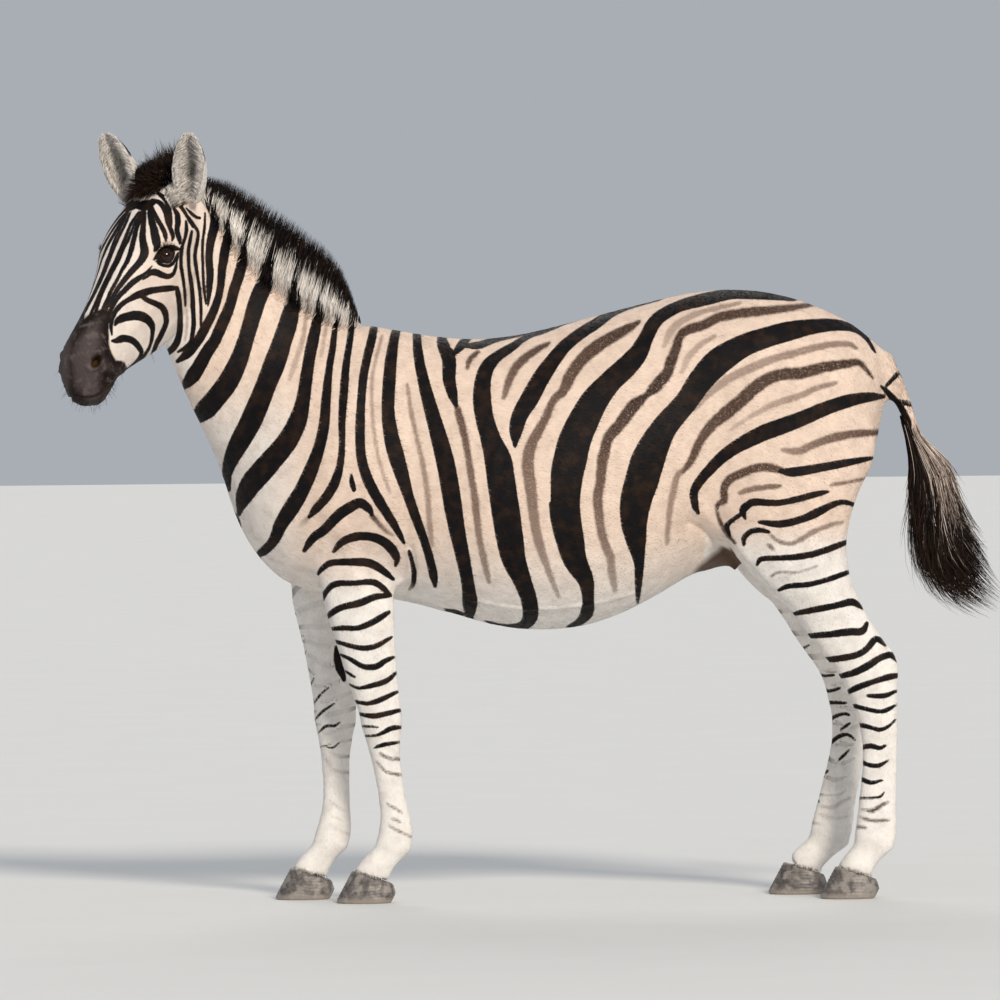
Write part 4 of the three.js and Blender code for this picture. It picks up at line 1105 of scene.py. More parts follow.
def flow(p):
    """The way the coat lies."""
    way = np.tile([1.0, 0.0, -0.35], (len(p), 1))
    rump = smoothstep(0.45, 0.80, p[:, 0])[:, None]
    way = mix(way, np.array([0.45, 0, -1.0]), rump)
    neck = smoothstep(1.05, 1.30, p @ NECK_AXIS)[:, None]
    way = mix(way, np.array([0.75, 0, -0.75]), neck)
    fore, hind = legness(p)
    way = mix(way, np.array([0.12, 0, -1.0]), np.maximum(fore, hind)[:, None])
    q = to_head(p)
    face = np.stack([np.full(len(p), 0.9), 0.25 * np.sign(q[:, 1]), np.full(len(p), -0.35)], 1) @ HEAD_AXES
    way = mix(way, face, headness(p)[:, None])
    for side in SIDES:
        way = mix(way, ear_axes(side)[2], earness(p, side)[:, None])
    return mix(way, np.array([0.3, 0, -1.0]), tailness(p)[:, None])


# The coat's tufts: length, width and number to the square metre.
TRUNK_TUFTS, LEG_TUFTS, FOOT_TUFTS = (0.0070, 0.0012, 34000), (0.0060, 0.0010, 52000), (0.0050, 0.0009, 70000)
HEAD_TUFTS, EAR_TUFTS, NOSE_TUFTS = (0.0042, 0.0007, 90000), (0.0035, 0.0007, 110000), (0.0022, 0.0006, 30000)
UDDER_TUFTS, DOCK_TUFTS = (0.0040, 0.0008, 30000), (0.0140, 0.0012, 60000)


def hair_scale(p, values):
    """Length, width and number to the square metre of the tufts at each point, as columns."""
    scale = np.tile(np.array(TRUNK_TUFTS, float), (len(p), 1))
    leg, foot = np.maximum(*legness(p)), smoothstep(0.30, 0.08, p[:, 2])
    bare = smoothstep(-3, 3, values["muzzle"])
    for weight, tufts in ((leg, LEG_TUFTS), (foot, FOOT_TUFTS), (headness(p), HEAD_TUFTS),
                          (ears_of(p), EAR_TUFTS), (bare, NOSE_TUFTS), (values["udder"], UDDER_TUFTS),
                          (tailness(p), DOCK_TUFTS)):
        scale = mix(scale, np.array(tufts), weight[:, None])
    return scale


def grow_coat(surface):
    """Short tufts lying along the whole skin."""
    number = hair_scale(surface.points, surface.values)[surface.corners, 2].mean(1)
    for side in SIDES:
        _, away, inward, upward = eye_view(surface.centres, side)
        number *= (away > 0.04) | (lid_gap(away, inward, upward) > 0.006)
        number *= nostril_view(surface.centres, side)[0] > 1.2
    under_forelock = (to_head(surface.centres) - [0, 0, -0.02]) / [0.075, 0.035, 0.06]
    number *= np.linalg.norm(under_forelock, axis=1) > 1
    place, normal, uv, values = surface.scatter(number)
    length, width, _ = hair_scale(place, values).T
    n = len(place)
    way = flow(place)
    across = np.cross(normal, way)
    way = unit(np.cross(across, normal)) + unit(across) * rng.normal(0, 0.16, (n, 1))
    lean = np.radians(rng.normal(6, 2, (n, 1)))
    step = unit(way) * np.cos(lean) + normal * np.sin(lean)
    length = (length * rng.uniform(0.75, 1.25, n))[:, None]
    root = place - normal * 0.0004
    paths = np.stack([root, root + step * length], 1)
    widths = np.stack([width, width * 0], 1)
    values["hair"] = rng.random(n)
    # From head to tail, the lower legs after the rest.
    order = np.argsort(place[:, 0] + 4 * (place[:, 2] < 0.6))
    pieces = math.ceil(n * TUFT_FACES / PIECE_FACES)
    made = []
    for i, part in enumerate(np.array_split(order, pieces)):
        picked = {key: v[part] for key, v in values.items()}
        made.append(blades(f"coat_{i + 1}", paths[part], widths[part], across[part], uv[part], picked))
    return made


# ---- mane, forelock and tail -------------------------------------------------------------------
# The mane: crest x, z; root x, z; y; thickness.
MANE_ROWS = [(-0.878, 1.648, -0.868, 1.575, -0.116, 0.030), (-0.846, 1.668, -0.838, 1.585, -0.102, 0.036),
             (-0.800, 1.662, -0.790, 1.580, -0.084, 0.040), (-0.745, 1.632, -0.728, 1.560, -0.066, 0.042),
             (-0.676, 1.618, -0.676, 1.488, -0.040, 0.044), (-0.614, 1.584, -0.627, 1.424, -0.022, 0.046),
             (-0.547, 1.538, -0.571, 1.374, -0.009, 0.046), (-0.502, 1.502, -0.520, 1.334, -0.003, 0.046),
             (-0.457, 1.464, -0.476, 1.302, 0.000, 0.046), (-0.424, 1.420, -0.440, 1.280, 0.000, 0.044),
             (-0.404, 1.372, -0.410, 1.278, 0.000, 0.038), (-0.384, 1.310, -0.386, 1.280, 0.000, 0.020)]
# The tail's hairs: middle x, y, z; depth; width.
TUFT_ROWS = [(0.836, -0.006, 1.080, 0.030, 0.030), (0.856, -0.009, 1.020, 0.040, 0.034),
             (0.888, -0.012, 0.945, 0.092, 0.044), (0.900, -0.014, 0.880, 0.106, 0.058),
             (0.916, -0.016, 0.800, 0.116, 0.066), (0.948, -0.018, 0.730, 0.110, 0.062),
             (0.992, -0.020, 0.680, 0.084, 0.048), (1.046, -0.022, 0.640, 0.050, 0.026)]


MANE_HAIRS, FORELOCK_HAIRS, TAIL_HAIRS, TAIL_LOCKS, LASHES = 11000, 1700, 4900, 44, 80
# To the square metre.
CREST_HAIRS, CORONET_HAIRS, EAR_HAIRS, LIP_WHISKERS, JAW_WHISKERS = 80000, 260000, 240000, 5200, 900
# A hair's rings, as shares of its length, and how thick a tail's hair is at each of its own.
THREE_RINGS, FOUR_RINGS, FIVE_RINGS = (0, 0.5, 1), (0, 0.35, 0.7, 1), (0, 0.25, 0.5, 0.75, 1)
TAIL_TAPER = (1, 1, 1, 1, 0.9, 0.7, 0.45, 0)
ROOT_DEPTH = 0.001  # how deep in the skin a hair starts
ALL_PALE = 2.0  # dark_from is the share of the length where a hair turns black; past the tip, nowhere


def plain(n, **values):
    """The attributes of hairs without markings, but for the values given."""
    distances = ("stripe", "shade", "muzzle")
    shares = ("stripe_dark", "shade_dark", "ear_in", "ear_back", "hollow_shade", "nostril", "warm", "udder")
    made = {name: np.full(n, FAR) for name in distances} | {name: np.zeros(n) for name in shares}
    return made | {"dark_from": np.zeros(n)} | values


def black_hair(n):
    return plain(n, stripe=np.full(n, 20.0), stripe_dark=np.ones(n), hair=rng.random(n))


def rows_at(rows, place):
    """Rows between the rows, at fractional row numbers."""
    return np.stack([np.interp(place, np.arange(len(rows)), column) for column in rows.T], -1)


def grow_mane():
    """Upright hairs from the mane's root to its crest, striped as the neck is, with black tips."""
    n = MANE_HAIRS
    rows = through(MANE_ROWS, 8)
    at = np.sort(rng.random(n)) ** 0.95 * (len(rows) - 1)
    slant = rng.normal(3.2, 1.2, n) * smoothstep(0, 12, at)
    low, high = rows_at(rows, at), rows_at(rows, np.clip(at + slant, 0, len(rows) - 1))
    spread = rng.uniform(-0.5, 0.5, n)
    root = np.stack([low[:, 2], low[:, 4] + spread * low[:, 5] * 0.8, low[:, 3]], 1)
    tip = np.stack([high[:, 0], high[:, 4] + spread * high[:, 5] * 0.55, high[:, 1]], 1)
    tip[:, 1] += rng.normal(0, 0.004, n)
    reach = rng.beta(5, 1.4, n)[:, None] * 1.04
    u = np.array(FOUR_RINGS)[None, :, None]
    paths = root[:, None] + (tip - root)[:, None] * u * reach[:, None]
    bow = rng.normal(0.004, 0.004, (n, 1, 1)) * np.sin(math.pi * u)
    paths = paths + bow * np.array([-0.8, 0, 0.6])
    paths[:, :, 1] += (rng.normal(0, 0.003, (n, 1)) * u[:, :, 0] ** 2)
    widths = rng.uniform(0.0016, 0.0030, (n, 1)) * np.array([1, 1, 0.75, 0])
    across = np.tile([0.3, 1.0, 0], (n, 1)) + rng.normal(0, 0.5, (n, 3))
    base = root + (tip - root) * 0.12
    stripe, _ = drawn(chart(base * [1, 0, 1]), BLACK)
    stripe += rng.normal(0, 1.2, n) - 1.5 - 5 * smoothstep(18, 30, at)
    stripe = np.maximum(stripe, 20 * smoothstep(11, 6, at) - 8)  # black between the ears
    values = plain(n, stripe=stripe, stripe_dark=np.ones(n), hair=rng.random(n),
                   dark_from=rng.normal(0.49, 0.08, n) / reach[:, 0])
    uv = np.stack([0.64 + 0.34 * at / len(rows), np.full(n, 0.31)], 1)
    return blades("mane_hair", paths, widths, across, uv, values)


def grow_forelock():
    """Hairs between and before the ears, upright behind and falling forwards in front."""
    n = FORELOCK_HAIRS
    ahead = rng.random(n)
    q = np.stack([-0.050 + 0.105 * ahead, rng.normal(0, 0.016, n), np.zeros(n)], 1)
    q[:, 2] = np.interp(q[:, 0], [-0.06, -0.03, 0, 0.05, 0.1], [-0.060, -0.040, -0.016, 0.004, 0.009])
    reach = 0.066 - 0.012 * ahead + rng.normal(0, 0.007, n)
    upright, forward = np.array([-0.62, 0, 0.78]), np.array([0.10, 0, 0.95])
    way = mix(upright, forward, ahead[:, None]) + rng.normal(0, 0.16, (n, 3))
    droop = np.array([0.65, 0, -0.45]) * ahead[:, None] ** 2
    paths = from_head(curling(q, way, reach, droop, FOUR_RINGS))
    widths = rng.uniform(0.0014, 0.0024, (n, 1)) * np.array([1, 1, 0.7, 0])
    uv = np.tile([0.31, 0.52], (n, 1))
    values = black_hair(n)
    return blades("forelock", paths, widths, rng.normal(0, 1, (n, 3)), uv, values)


def grow_tail():
    """Long hairs that start along the dock and draw together into locks, each lock with an end of its own."""
    n, rings, locks = TAIL_HAIRS, len(TAIL_TAPER), TAIL_LOCKS
    rows = through(TUFT_ROWS, 8)
    knots = np.linspace(0, 1, len(rows))
    # Each lock's place across the tuft, in half depths and half widths, and its end down the tuft.
    lock = rng.integers(0, locks, n)
    lock_a, lock_b = rng.uniform(-1.25, 1.2, locks), rng.uniform(-1.0, 1.0, locks)
    lock_end = rng.uniform(0.60, 1.0, locks)
    # Each hair's place across the tuft, and its own start and end down it.
    angle, far = rng.uniform(0, 2 * math.pi, n), np.sqrt(rng.random(n))
    a, b = np.cos(angle) * far, np.sin(angle) * far
    start = rng.beta(1.1, 2.3, n) * 0.66
    end = np.clip(start + rng.uniform(0.22, 0.75, n), 0.35, lock_end[lock] + rng.normal(0, 0.03, n))
    end = np.maximum(end, start + 0.10)
    run = np.linspace(0, 1, rings)[None, :]
    u = np.clip(start[:, None] + (end - start)[:, None] * run, 0, 1)
    centre = np.stack([np.interp(u, knots, rows[:, i]) for i in range(3)], -1)
    depth, width = np.interp(u, knots, rows[:, 3]), np.interp(u, knots, rows[:, 4])
    slope = np.gradient(rows[:, [0, 2]], axis=0)
    slope /= np.linalg.norm(slope, axis=1, keepdims=True)
    aside = np.stack([np.interp(u, knots, -slope[:, 1]), 0 * u, np.interp(u, knots, slope[:, 0])], -1)
    # Each hair is pulled towards its lock on the way down.
    pull = 0.85 * smoothstep(0.1, 1.0, run) * smoothstep(0.25, 0.7, u)
    a_at = mix(a[:, None], lock_a[lock][:, None] + 0.25 * a[:, None], pull)
    b_at = mix(b[:, None], lock_b[lock][:, None] + 0.25 * b[:, None], pull)
    a_at += 0.35 * run ** 2 * (a + rng.normal(0, 0.3, n))[:, None]
    wave = rng.normal(0, 0.003, (n, 1)) * np.sin(u * 9 + lock[:, None]) * u
    paths = centre + aside * (a_at * depth / 2 + wave)[..., None]
    paths[:, :, 1] += b_at * width / 2 + wave
    widths = rng.uniform(0.0010, 0.0021, (n, 1)) * np.array(TAIL_TAPER)
    # Most hairs on the tuft's rear side start pale.
    pale = (a + rng.normal(0, 0.35, n)) > 0.0
    dark_from = np.where(pale, (rng.normal(0.50, 0.12, n) - start) / (end - start), 0)
    values = plain(n, stripe=np.where(pale, -20.0, 20.0), stripe_dark=np.ones(n), hair=rng.random(n),
                   shade=np.full(n, 20.0), shade_dark=rng.random(n) ** 2, dark_from=np.clip(dark_from, 0, 2),
                   warm=np.full(n, 0.6))
    uv = np.stack([0.66 + 0.3 * start, np.full(n, 0.95)], 1)
    return blades("tail_hair", paths, widths, rng.normal(0, 1, (n, 3)), uv, values)


def grow_crest(surface):
    """Hair along the mane's root, longer towards the crest, that carries the neck's stripes into the mane."""
    rows = through(MANE_ROWS, 8)
    foot, top = rows[:, [2, 4, 3]], rows[:, [0, 4, 1]]
    p = surface.centres
    away = np.min([np.linalg.norm(p - a, axis=1) for a in foot], axis=0)
    number = CREST_HAIRS * smoothstep(0.058, 0.030, away) * (1 - headness(p))
    number *= smoothstep(-0.388, -0.410, p[:, 0])
    place, normal, uv, values = surface.scatter(number * (1 - ears_of(p)))
    n = len(place)
    away = np.array([np.linalg.norm(place - a, axis=1) for a in foot])
    upward = unit(top - foot)[np.argmin(away, axis=0)]
    close = smoothstep(0.060, 0.018, np.min(away, axis=0))[:, None]
    way = mix(np.array([0.9, 0, -0.1]), upward, close ** 0.6)
    way = unit(way + normal * 0.16 + rng.normal(0, 0.07, (n, 3)))
    reach = 0.010 + 0.030 * close * rng.uniform(0.5, 1.2, (n, 1))
    bend = 0.25 * upward - 0.2 * normal
    paths = curling(place - normal * ROOT_DEPTH, way, reach, bend, (0, 0.4, 0.75, 1))
    widths = rng.uniform(0.0011, 0.0020, (n, 1)) * np.array([1, 1, 0.7, 0])
    warm = values["warm"] * (1 - close[:, 0])
    values |= {"hair": rng.random(n), "warm": warm, "dark_from": np.full(n, ALL_PALE)}
    return blades("mane_root", paths, widths, normal, uv, values)


def grow_coronets(surface):
    """Hair of each foot that hangs over the top of the hoof."""
    hoof_points = np.concatenate([points_of(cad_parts[name].data) - SHIFT for name in HOOVES])
    low = np.flatnonzero(surface.centres[:, 2] < 0.13)
    away = np.full(len(surface.centres), 1.0)
    away[low] = [np.linalg.norm(hoof_points - centre, axis=1).min() for centre in surface.centres[low]]
    place, normal, uv, values = surface.scatter(CORONET_HAIRS * smoothstep(0.020, 0.008, away))
    n = len(place)
    way = unit(np.array([0, 0, -1.0]) + normal * 0.42 + rng.normal(0, 0.12, (n, 3)))
    reach = rng.uniform(0.008, 0.017, n)
    paths = curling(place - normal * ROOT_DEPTH, way, reach, -0.22 * normal, THREE_RINGS)
    widths = rng.uniform(0.0009, 0.0016, (n, 1)) * np.array([1, 0.8, 0])
    values["hair"] = rng.random(n)
    return blades("coronet_hair", paths, widths, normal, uv, values)


# ---- hairs of the ears, lashes and whiskers ------------------------------------------------------
def grow_ear_hair(surface, side):
    """Pale hair in the ear's cup, that leans upwards and in over the hollow."""
    mouth, across, up = ear_axes(side)
    e = to_ear(surface.centres, side)
    cup = (e[:, 2] > -0.16) & (np.linalg.norm(e[:, :2], axis=1) < 0.36) & (surface.facing @ mouth > 0.1)
    place, normal, uv, values = surface.scatter(cup * EAR_HAIRS)
    n = len(place)
    e = to_ear(place, side)
    length = np.clip(0.110 * (1.0 - e[:, 2]), 0.003, 0.021) * rng.uniform(0.6, 1.1, n)
    inwards = -np.sign(e[:, 1])[:, None] * across
    way = unit(up * 0.85 + normal * 0.18 + inwards * 0.5 + rng.normal(0, 0.16, (n, 3)))
    paths = curling(place, way, length, 0.25 * inwards, THREE_RINGS)
    widths = rng.uniform(0.0007, 0.0013, (n, 1)) * np.array([1, 0.8, 0])
    values |= {"hair": rng.random(n), "dark_from": np.full(n, ALL_PALE)}
    return blades(f"ear_hair_{SIDES[side]}", paths, widths, inwards, uv, values)


def grow_lashes(side):
    """Lashes along the upper lid, curling upwards."""
    n = LASHES
    inward = rng.uniform(-0.92, 0.70, n) * LID_CORNER
    edge = upper_lid(inward) + 0.06
    aim = unit(np.tan(inward)[:, None] * TO_CORNER + np.tan(edge)[:, None] * EYE_UP + GAZE)
    root = EYE + aim * (EYE_RADIUS + 0.0026)
    way = unit(aim * 0.9 - EYE_UP * 0.25 + rng.normal(0, 0.12, (n, 3)))
    paths = curling(root, way, rng.uniform(0.012, 0.020, n), 0.35 * EYE_UP, FIVE_RINGS)
    widths = np.tile(0.0011 * np.array([1, 1, 0.8, 0.5, 0]), (n, 1))
    values = black_hair(n)
    uv = np.tile([0.31 + 0.12 * side, 0.70], (n, 1))
    paths = from_head(paths * [1, side, 1])
    return blades(f"lashes_{SIDES[side]}", paths, widths, rng.normal(0, 1, (n, 3)), uv, values)


def grow_whiskers(surface):
    """Dark whiskers on the lips, and a few along the jaw."""
    q = to_head(surface.centres)
    lip = smoothstep(0.44, 0.50, q[:, 0]) * smoothstep(-0.05, -0.11, q[:, 2])
    jaw = smoothstep(0.28, 0.36, q[:, 0]) * smoothstep(-0.12, -0.17, q[:, 2])
    head = headness(surface.centres) > 0.5
    place, normal, uv, values = surface.scatter((lip * LIP_WHISKERS + jaw * JAW_WHISKERS) * head)
    n = len(place)
    reach = rng.uniform(0.010, 0.024, n)
    way = unit(normal + 0.5 * HEAD_AXES[0] + rng.normal(0, 0.25, (n, 3)))
    paths = curling(place, way, reach, (0, 0, -0.3), FIVE_RINGS)
    widths = np.tile(0.0006 * np.array([1, 0.9, 0.7, 0.5, 0]), (n, 1))
    values |= {"hair": rng.random(n), "dark_from": np.zeros(n)}
    return blades("whiskers", paths, widths, rng.normal(0, 1, (n, 3)), uv, values)


# ---- eyes and hooves -----------------------------------------------------------------------------
def build_eye(side):
    """An eyeball with a slightly raised cornea, its own Z turned to the gaze."""
    name = f"eyeball_{SIDES[side]}"
    mesh = bpy.data.meshes.new(name)
    ball = bmesh.new()
    bmesh.ops.create_uvsphere(ball, u_segments=64, v_segments=40, radius=EYE_RADIUS)
    ball.to_mesh(mesh)
    ball.free()
    p = points_of(mesh)
    toward = p[:, 2] / EYE_RADIUS
    p *= (1 + 0.035 * smoothstep(0.80, 0.97, toward))[:, None]
    add_values(mesh, {"inward": p[:, 0] / EYE_RADIUS, "upward": p[:, 1] / EYE_RADIUS, "toward": toward})
    q = p @ np.array([TO_CORNER, EYE_UP, GAZE]) + EYE
    set_points(mesh, from_head(q * [1, side, 1]))
    if side < 0:
        mesh.flip_normals()
    smooth_shaded(mesh)
    return new_object(name, mesh)


COARSE_RINGS, FINE_RINGS = 0.00035, 0.0002


def build_hoof(node):
    """A hoof with its growth rings, on a flat sole."""
    hoof = joined([node], 0.0)
    hoof.name = node.replace("hoof", "hoof_wall")
    flat = points_of(hoof.data)[:, 2].min()
    remeshed(hoof, HOOF_VOXEL)
    p = points_of(hoof.data)
    softened(hoof, smoothstep(flat + 0.001, flat + 0.008, p[:, 2]), 14)
    p, normal = points_of(hoof.data), normals_of(hoof.data)
    height = p[:, 2] - flat
    rings = COARSE_RINGS * np.sin(height * 900 + 1.5 * np.sin(p[:, 0] * 60))
    rings += FINE_RINGS * np.sin(height * 2100)
    p += normal * (rings * smoothstep(0.002, 0.008, height))[:, None]
    p[:, 2] = np.maximum(p[:, 2], flat)
    set_points(hoof.data, p)
    add_values(hoof.data, {"height": height})
    smooth_shaded(hoof.data)
    return hoof


# ---- materials -----------------------------------------------------------------------------------
WHITE, CREAM = (0.86, 0.82, 0.775, 1), (0.80, 0.635, 0.525, 1)
BLACK_HAIR, BROWN_BLACK = (0.0050, 0.0040, 0.0048, 1), (0.024, 0.012, 0.007, 1)
TIP_BROWN = (0.036, 0.018, 0.010, 1)
SHADOW_BROWN = (0.115, 0.054, 0.034, 1)
NOSE_DARK, NOSE_GREY = (0.009, 0.005, 0.004, 1), (0.068, 0.052, 0.050, 1)
NOSE_PALE, NOSTRIL_BROWN = (0.150, 0.118, 0.108, 1), (0.055, 0.026, 0.008, 1)
UDDER_SKIN = (0.100, 0.060, 0.040, 1)
EAR_PALE, EAR_GREY = (0.88, 0.85, 0.81, 1), (0.58, 0.51, 0.45, 1)
PUPIL, IRIS_DARK, IRIS_BROWN = (0.002, 0.002, 0.003, 1), (0.010, 0.004, 0.002, 1), (0.034, 0.012, 0.006, 1)
EYE_RIM, EYE_BACK = (0.012, 0.007, 0.006, 1), (0.020, 0.012, 0.010, 1)
HORN_DARK, HORN_GREY = (0.070, 0.060, 0.056, 1), (0.150, 0.130, 0.120, 1)
HORN_SCUFFED, HORN_EDGE = (0.40, 0.36, 0.32, 1), (0.34, 0.29, 0.25, 1)
FLOOR_GREY, FLOOR_PALE = (0.72, 0.72, 0.71, 1), (0.76, 0.76, 0.75, 1)
GLOSS = 0.12


class Graph:
    """A material's nodes, put together one call at a time."""

    def __init__(self, name, roughness, gloss=0.5):
        self.material = bpy.data.materials.new(name)
        self.material.use_nodes = True
        self.tree = self.material.node_tree
        self.shader = self.tree.nodes["Principled BSDF"]
        self.shader.inputs["Roughness"].default_value = roughness
        self.shader.inputs["Specular IOR Level"].default_value = gloss

    def set(self, socket, value):
        if isinstance(value, bpy.types.NodeSocket):
            self.tree.links.new(value, socket)
        else:
            socket.default_value = value

    def node(self, kind, settings=None, **inputs):
        made = self.tree.nodes.new(kind)
        for key, value in (settings or {}).items():
            setattr(made, key, value)
        for key, value in inputs.items():
            self.set(made.inputs[key.replace("_", " ")], value)
        return made

    def value(self, name):
        return self.node("ShaderNodeAttribute", {"attribute_name": name}).outputs["Fac"]

    def math(self, operation, a, b=0.0):
        made = self.node("ShaderNodeMath", {"operation": operation})
        self.set(made.inputs[0], a)
        self.set(made.inputs[1], b)
        return made.outputs[0]

    def plus(self, a, b):
        return self.math("ADD", a, b)

    def minus(self, a, b):
        return self.math("SUBTRACT", a, b)

    def times(self, a, b):
        return self.math("MULTIPLY", a, b)

    def ramp(self, value, low, high):
        made = self.node("ShaderNodeMapRange", {"interpolation_type": "SMOOTHSTEP"},
                         Value=value, From_Min=low, From_Max=high)
        return made.outputs["Result"]

    def blend(self, factor, a, b, way="MIX"):
        made = self.node("ShaderNodeMix", {"data_type": "RGBA", "blend_type": way})
        self.set(made.inputs["Factor"], factor)
        self.set(made.inputs["A"], a)
        self.set(made.inputs["B"], b)
        return made.outputs["Result"]

    def noise(self, scale, detail=2.0, vector=None):
        made = self.node("ShaderNodeTexNoise", None, Scale=scale, Detail=detail)
        if vector is None:
            vector = self.node("ShaderNodeTexCoord").outputs["Object"]
        self.set(made.inputs["Vector"], vector)
        return made.outputs["Fac"]

    def bump(self, height, strength, distance):
        made = self.node("ShaderNodeBump", None, Strength=strength, Distance=distance, Height=height)
        self.set(self.shader.inputs["Normal"], made.outputs["Normal"])


def jitter(g, value, noise, reach):
    """A distance moved in and out by a noise."""
    return g.plus(value, g.times(g.minus(noise, 0.5), reach))


def markings(g, tone):
    """The coat's colour from the skin's attributes; `tone` varies it from hair to hair, about 0.5."""
    # Distances are in mm. Noises fray the stripes' edges, let them wander and make patches of the coat.
    edge, patch = g.noise(420.0), g.noise(34.0, 4.0)
    frayed = g.plus(g.times(edge, 0.6), g.times(g.noise(1100.0), 0.4))
    wander = g.times(g.minus(g.noise(70.0), 0.5), 5.0)
    colour = g.blend(g.value("warm"), WHITE, CREAM)
    colour = g.blend(g.ramp(patch, 0.25, 0.85), colour, g.blend(0.22, colour, SHADOW_BROWN))
    black = g.blend(g.ramp(patch, 0.40, 0.75), BLACK_HAIR, BROWN_BLACK)
    shade = g.ramp(g.plus(jitter(g, g.value("shade"), frayed, 9.0), wander), -3.5, 3.5)
    faint = g.minus(1.0, g.value("shade_dark"))
    deep = g.minus(1.0, g.math("POWER", faint, 2.6))
    shade = g.times(g.times(shade, deep), g.ramp(frayed, 0.28, 0.46))
    brown = g.blend(g.math("POWER", g.value("shade_dark"), 2.0), SHADOW_BROWN, BROWN_BLACK)
    colour = g.blend(shade, colour, brown)
    stripe = g.plus(jitter(g, g.value("stripe"), frayed, 4.5), g.times(wander, 0.4))
    stripe = g.ramp(stripe, -1.2, 1.2)
    colour = g.blend(g.times(stripe, g.value("stripe_dark")), colour, black)
    inside_nose = g.plus(g.value("muzzle"), g.times(patch, 14.0))
    nose = g.blend(g.ramp(inside_nose, 15.0, 44.0), NOSE_DARK, NOSE_GREY)
    nose = g.blend(g.times(g.ramp(g.noise(60.0, 6.0), 0.50, 0.75), 0.55), nose, NOSE_PALE)
    colour = g.blend(g.ramp(jitter(g, g.value("muzzle"), patch, 10.0), -3.0, 3.0), colour, nose)
    colour = g.blend(g.value("nostril"), colour, NOSTRIL_BROWN)
    colour = g.blend(g.value("udder"), colour, UDDER_SKIN)
    ear = g.blend(g.ramp(tone, 0.15, 0.75), EAR_GREY, EAR_PALE)
    colour = g.blend(g.value("ear_in"), colour, ear)
    # Painted shade: the ears' hollows and the crease between the lips darkened to brown-black.
    colour = g.blend(g.value("hollow_shade"), colour, BROWN_BLACK)
    return g.blend(g.value("ear_back"), colour, BLACK_HAIR)


def toned(g, colour, tone, spread):
    """Lighter and darker by a number about 0.5."""
    level = g.plus(g.times(g.minus(tone, 0.5), spread), 1.0)
    grey = g.node("ShaderNodeCombineColor", None, Red=level, Green=level, Blue=level).outputs["Color"]
    return g.blend(1.0, colour, grey, "MULTIPLY")


def skin_material():
    g = Graph("coat_skin", 0.55, GLOSS)
    uv = g.node("ShaderNodeUVMap", {"uv_map": "OFBake"}).outputs["UV"]
    lie = g.node("ShaderNodeMapping", None, Vector=uv, Scale=(1400.0, 240.0, 1.0)).outputs["Vector"]
    grain = g.noise(1.0, 3.0, lie)
    g.set(g.shader.inputs["Base Color"], toned(g, markings(g, grain), grain, 0.30))
    g.bump(grain, 0.55, 0.0012)
    return g.material


def coat_material():
    g = Graph("coat_tufts", 0.55, GLOSS)
    tone = g.value("hair")
    g.set(g.shader.inputs["Base Color"], toned(g, markings(g, tone), tone, 0.20))
    g.bump(g.noise(900.0), 0.2, 0.0003)
    return g.material


def long_hair_material():
    g = Graph("long_hair", 0.45, GLOSS)
    tone = g.value("hair")
    past = g.minus(g.value("tip"), g.value("dark_from"))
    dark = g.blend(g.ramp(g.plus(tone, past), 0.55, 1.6), BLACK_HAIR, TIP_BROWN)
    colour = g.blend(g.ramp(past, -0.09, 0.09), markings(g, tone), dark)
    g.set(g.shader.inputs["Base Color"], toned(g, colour, tone, 0.45))
    g.bump(g.noise(900.0), 0.2, 0.0003)
    return g.material


def eye_material():
    g = Graph("eye", 0.05, 0.3)
    x, y = g.value("inward"), g.value("upward")
    radius = g.math("SQRT", g.plus(g.times(x, x), g.times(y, y)))
    wide, tall = g.math("DIVIDE", x, 0.36), g.math("DIVIDE", y, 0.22)
    pupil = g.plus(g.times(wide, wide), g.times(tall, tall))
    iris = g.blend(g.ramp(g.noise(260.0, 4.0), 0.3, 0.7), IRIS_DARK, IRIS_BROWN)
    colour = g.blend(g.ramp(pupil, 0.8, 1.25), PUPIL, iris)
    colour = g.blend(g.ramp(radius, 0.60, 0.72), colour, EYE_RIM)
    ahead = g.ramp(g.value("toward"), -0.1, 0.1)
    g.set(g.shader.inputs["Base Color"], g.blend(ahead, EYE_BACK, colour))
    return g.material


def hoof_material():
    g = Graph("hoof", 0.5)
    height = g.value("height")
    streak = g.noise(95.0, 5.0)
    scuff = g.ramp(g.noise(46.0, 6.0), 0.46, 0.62)
    colour = g.blend(g.ramp(streak, 0.35, 0.65), HORN_DARK, HORN_GREY)
    colour = g.blend(g.times(scuff, 0.5), colour, HORN_SCUFFED)
    colour = g.blend(g.ramp(height, 0.018, 0.0), colour, HORN_EDGE)
    g.set(g.shader.inputs["Base Color"], colour)
    g.bump(g.plus(streak, scuff), 0.35, 0.0008)
    return g.material


def floor_material():
    g = Graph("floor", 0.8)
    speck = g.noise(3.0, 5.0)
    g.set(g.shader.inputs["Base Color"], g.blend(speck, FLOOR_GREY, FLOOR_PALE))
    g.bump(g.noise(240.0, 3.0), 0.05, 0.0005)
    return g.material


# ---- put together --------------------------------------------------------------------------------
def finish(obj, material, nodes=()):
    """Sets a piece in the row's frame, with its finish, and hides the nodes it stands for."""
    obj.location = SHIFT
    obj.data.materials.clear()
    obj.data.materials.append(material)
    if nodes:
        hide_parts(*nodes)
    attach(obj, "root")


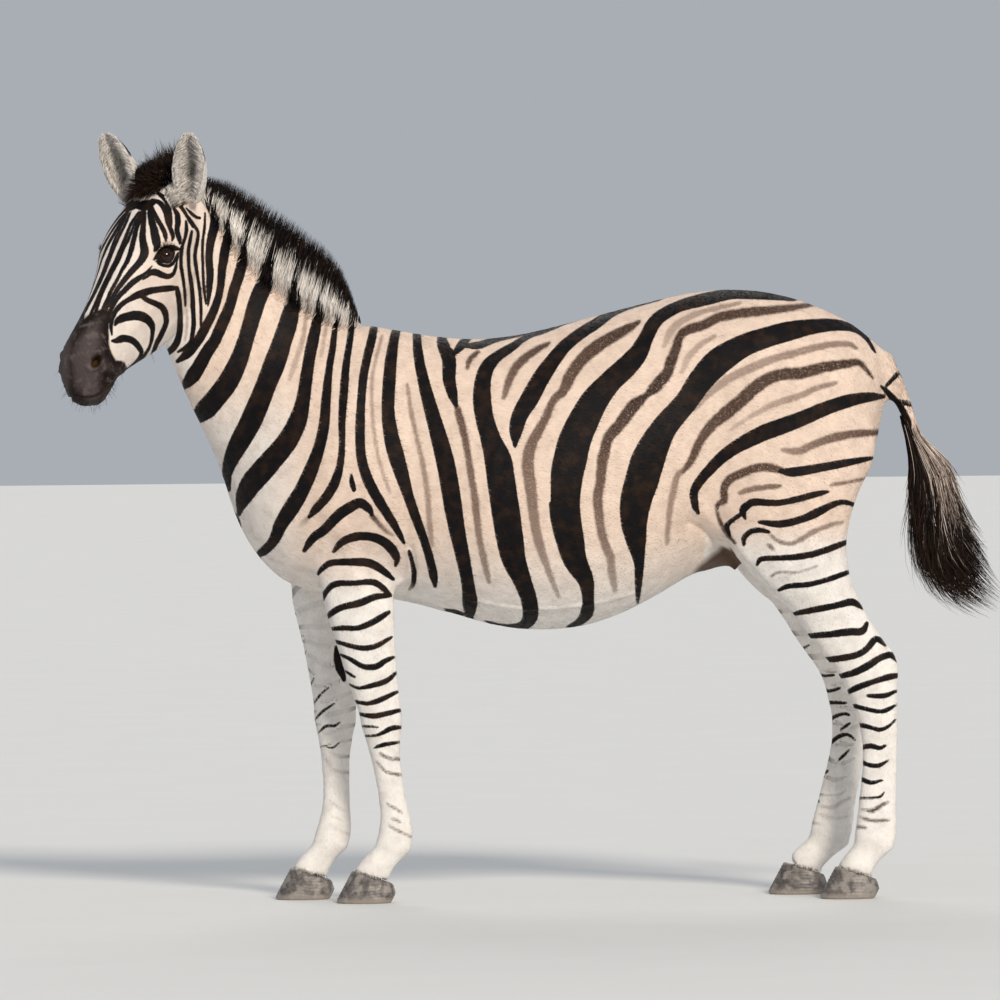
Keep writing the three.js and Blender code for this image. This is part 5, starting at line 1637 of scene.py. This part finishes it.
FLOOR_REACH = 60
SKY, SKY_STRENGTH = (0.86, 0.92, 1.0, 1), 0.46
# Each sun: the way it shines, its strength, colour and angle across in degrees.
SUNS = {"key": ((-0.32, 0.80, -0.48), 2.6, (1.0, 0.92, 0.81), 12),
        "rim": ((0.10, -0.85, -0.55), 0.5, (1.0, 0.97, 0.92), 30)}


def add_sun(name, toward, strength, colour, across):
    data = bpy.data.lights.new(name, "SUN")
    data.energy, data.color, data.angle = strength, colour, math.radians(across)
    light = bpy.data.objects.new(name, data)
    bpy.context.scene.collection.objects.link(light)
    light.location = -4 * Vector(toward).normalized()
    light.rotation_euler = Vector(toward).to_track_quat("-Z", "Y").to_euler()


def make_studio():
    mesh = bpy.data.meshes.new("floor")
    corners = ((-1, -1), (1, -1), (1, 1), (-1, 1))
    mesh.from_pydata([(x * FLOOR_REACH, y * FLOOR_REACH, 0) for x, y in corners], [], [(0, 1, 2, 3)])
    floor = new_object("floor", mesh)
    mesh.materials.append(floor_material())
    world = bpy.data.worlds.new("studio")
    bpy.context.scene.world = world
    world.use_nodes = True
    sky = world.node_tree.nodes["Background"]
    sky.inputs["Color"].default_value = SKY
    sky.inputs["Strength"].default_value = SKY_STRENGTH
    for name, sun in SUNS.items():
        add_sun(name, *sun)
    bpy.context.scene.view_settings.view_transform = "Standard"


make_camera()
skin, skin_values, skin_uv = build_skin()
surface = Surface(skin, skin_values, skin_uv)
finish(skin, skin_material(), FLESH)
tufts, long_hair = coat_material(), long_hair_material()
for piece in [*grow_coat(surface), grow_coronets(surface)]:
    finish(piece, tufts)
finish(grow_mane(), long_hair, ["mane"])
finish(grow_crest(surface), long_hair)
finish(grow_forelock(), long_hair)
finish(grow_tail(), long_hair, ["tail_tuft"])
finish(grow_whiskers(surface), long_hair)
eye_finish, hoof_finish = eye_material(), hoof_material()
for side, name in SIDES.items():
    finish(grow_ear_hair(surface, side), long_hair)
    finish(grow_lashes(side), long_hair)
    finish(build_eye(side), eye_finish, [f"eye_{name}"])
for node in HOOVES:
    finish(build_hoof(node), hoof_finish, [node])
make_studio()
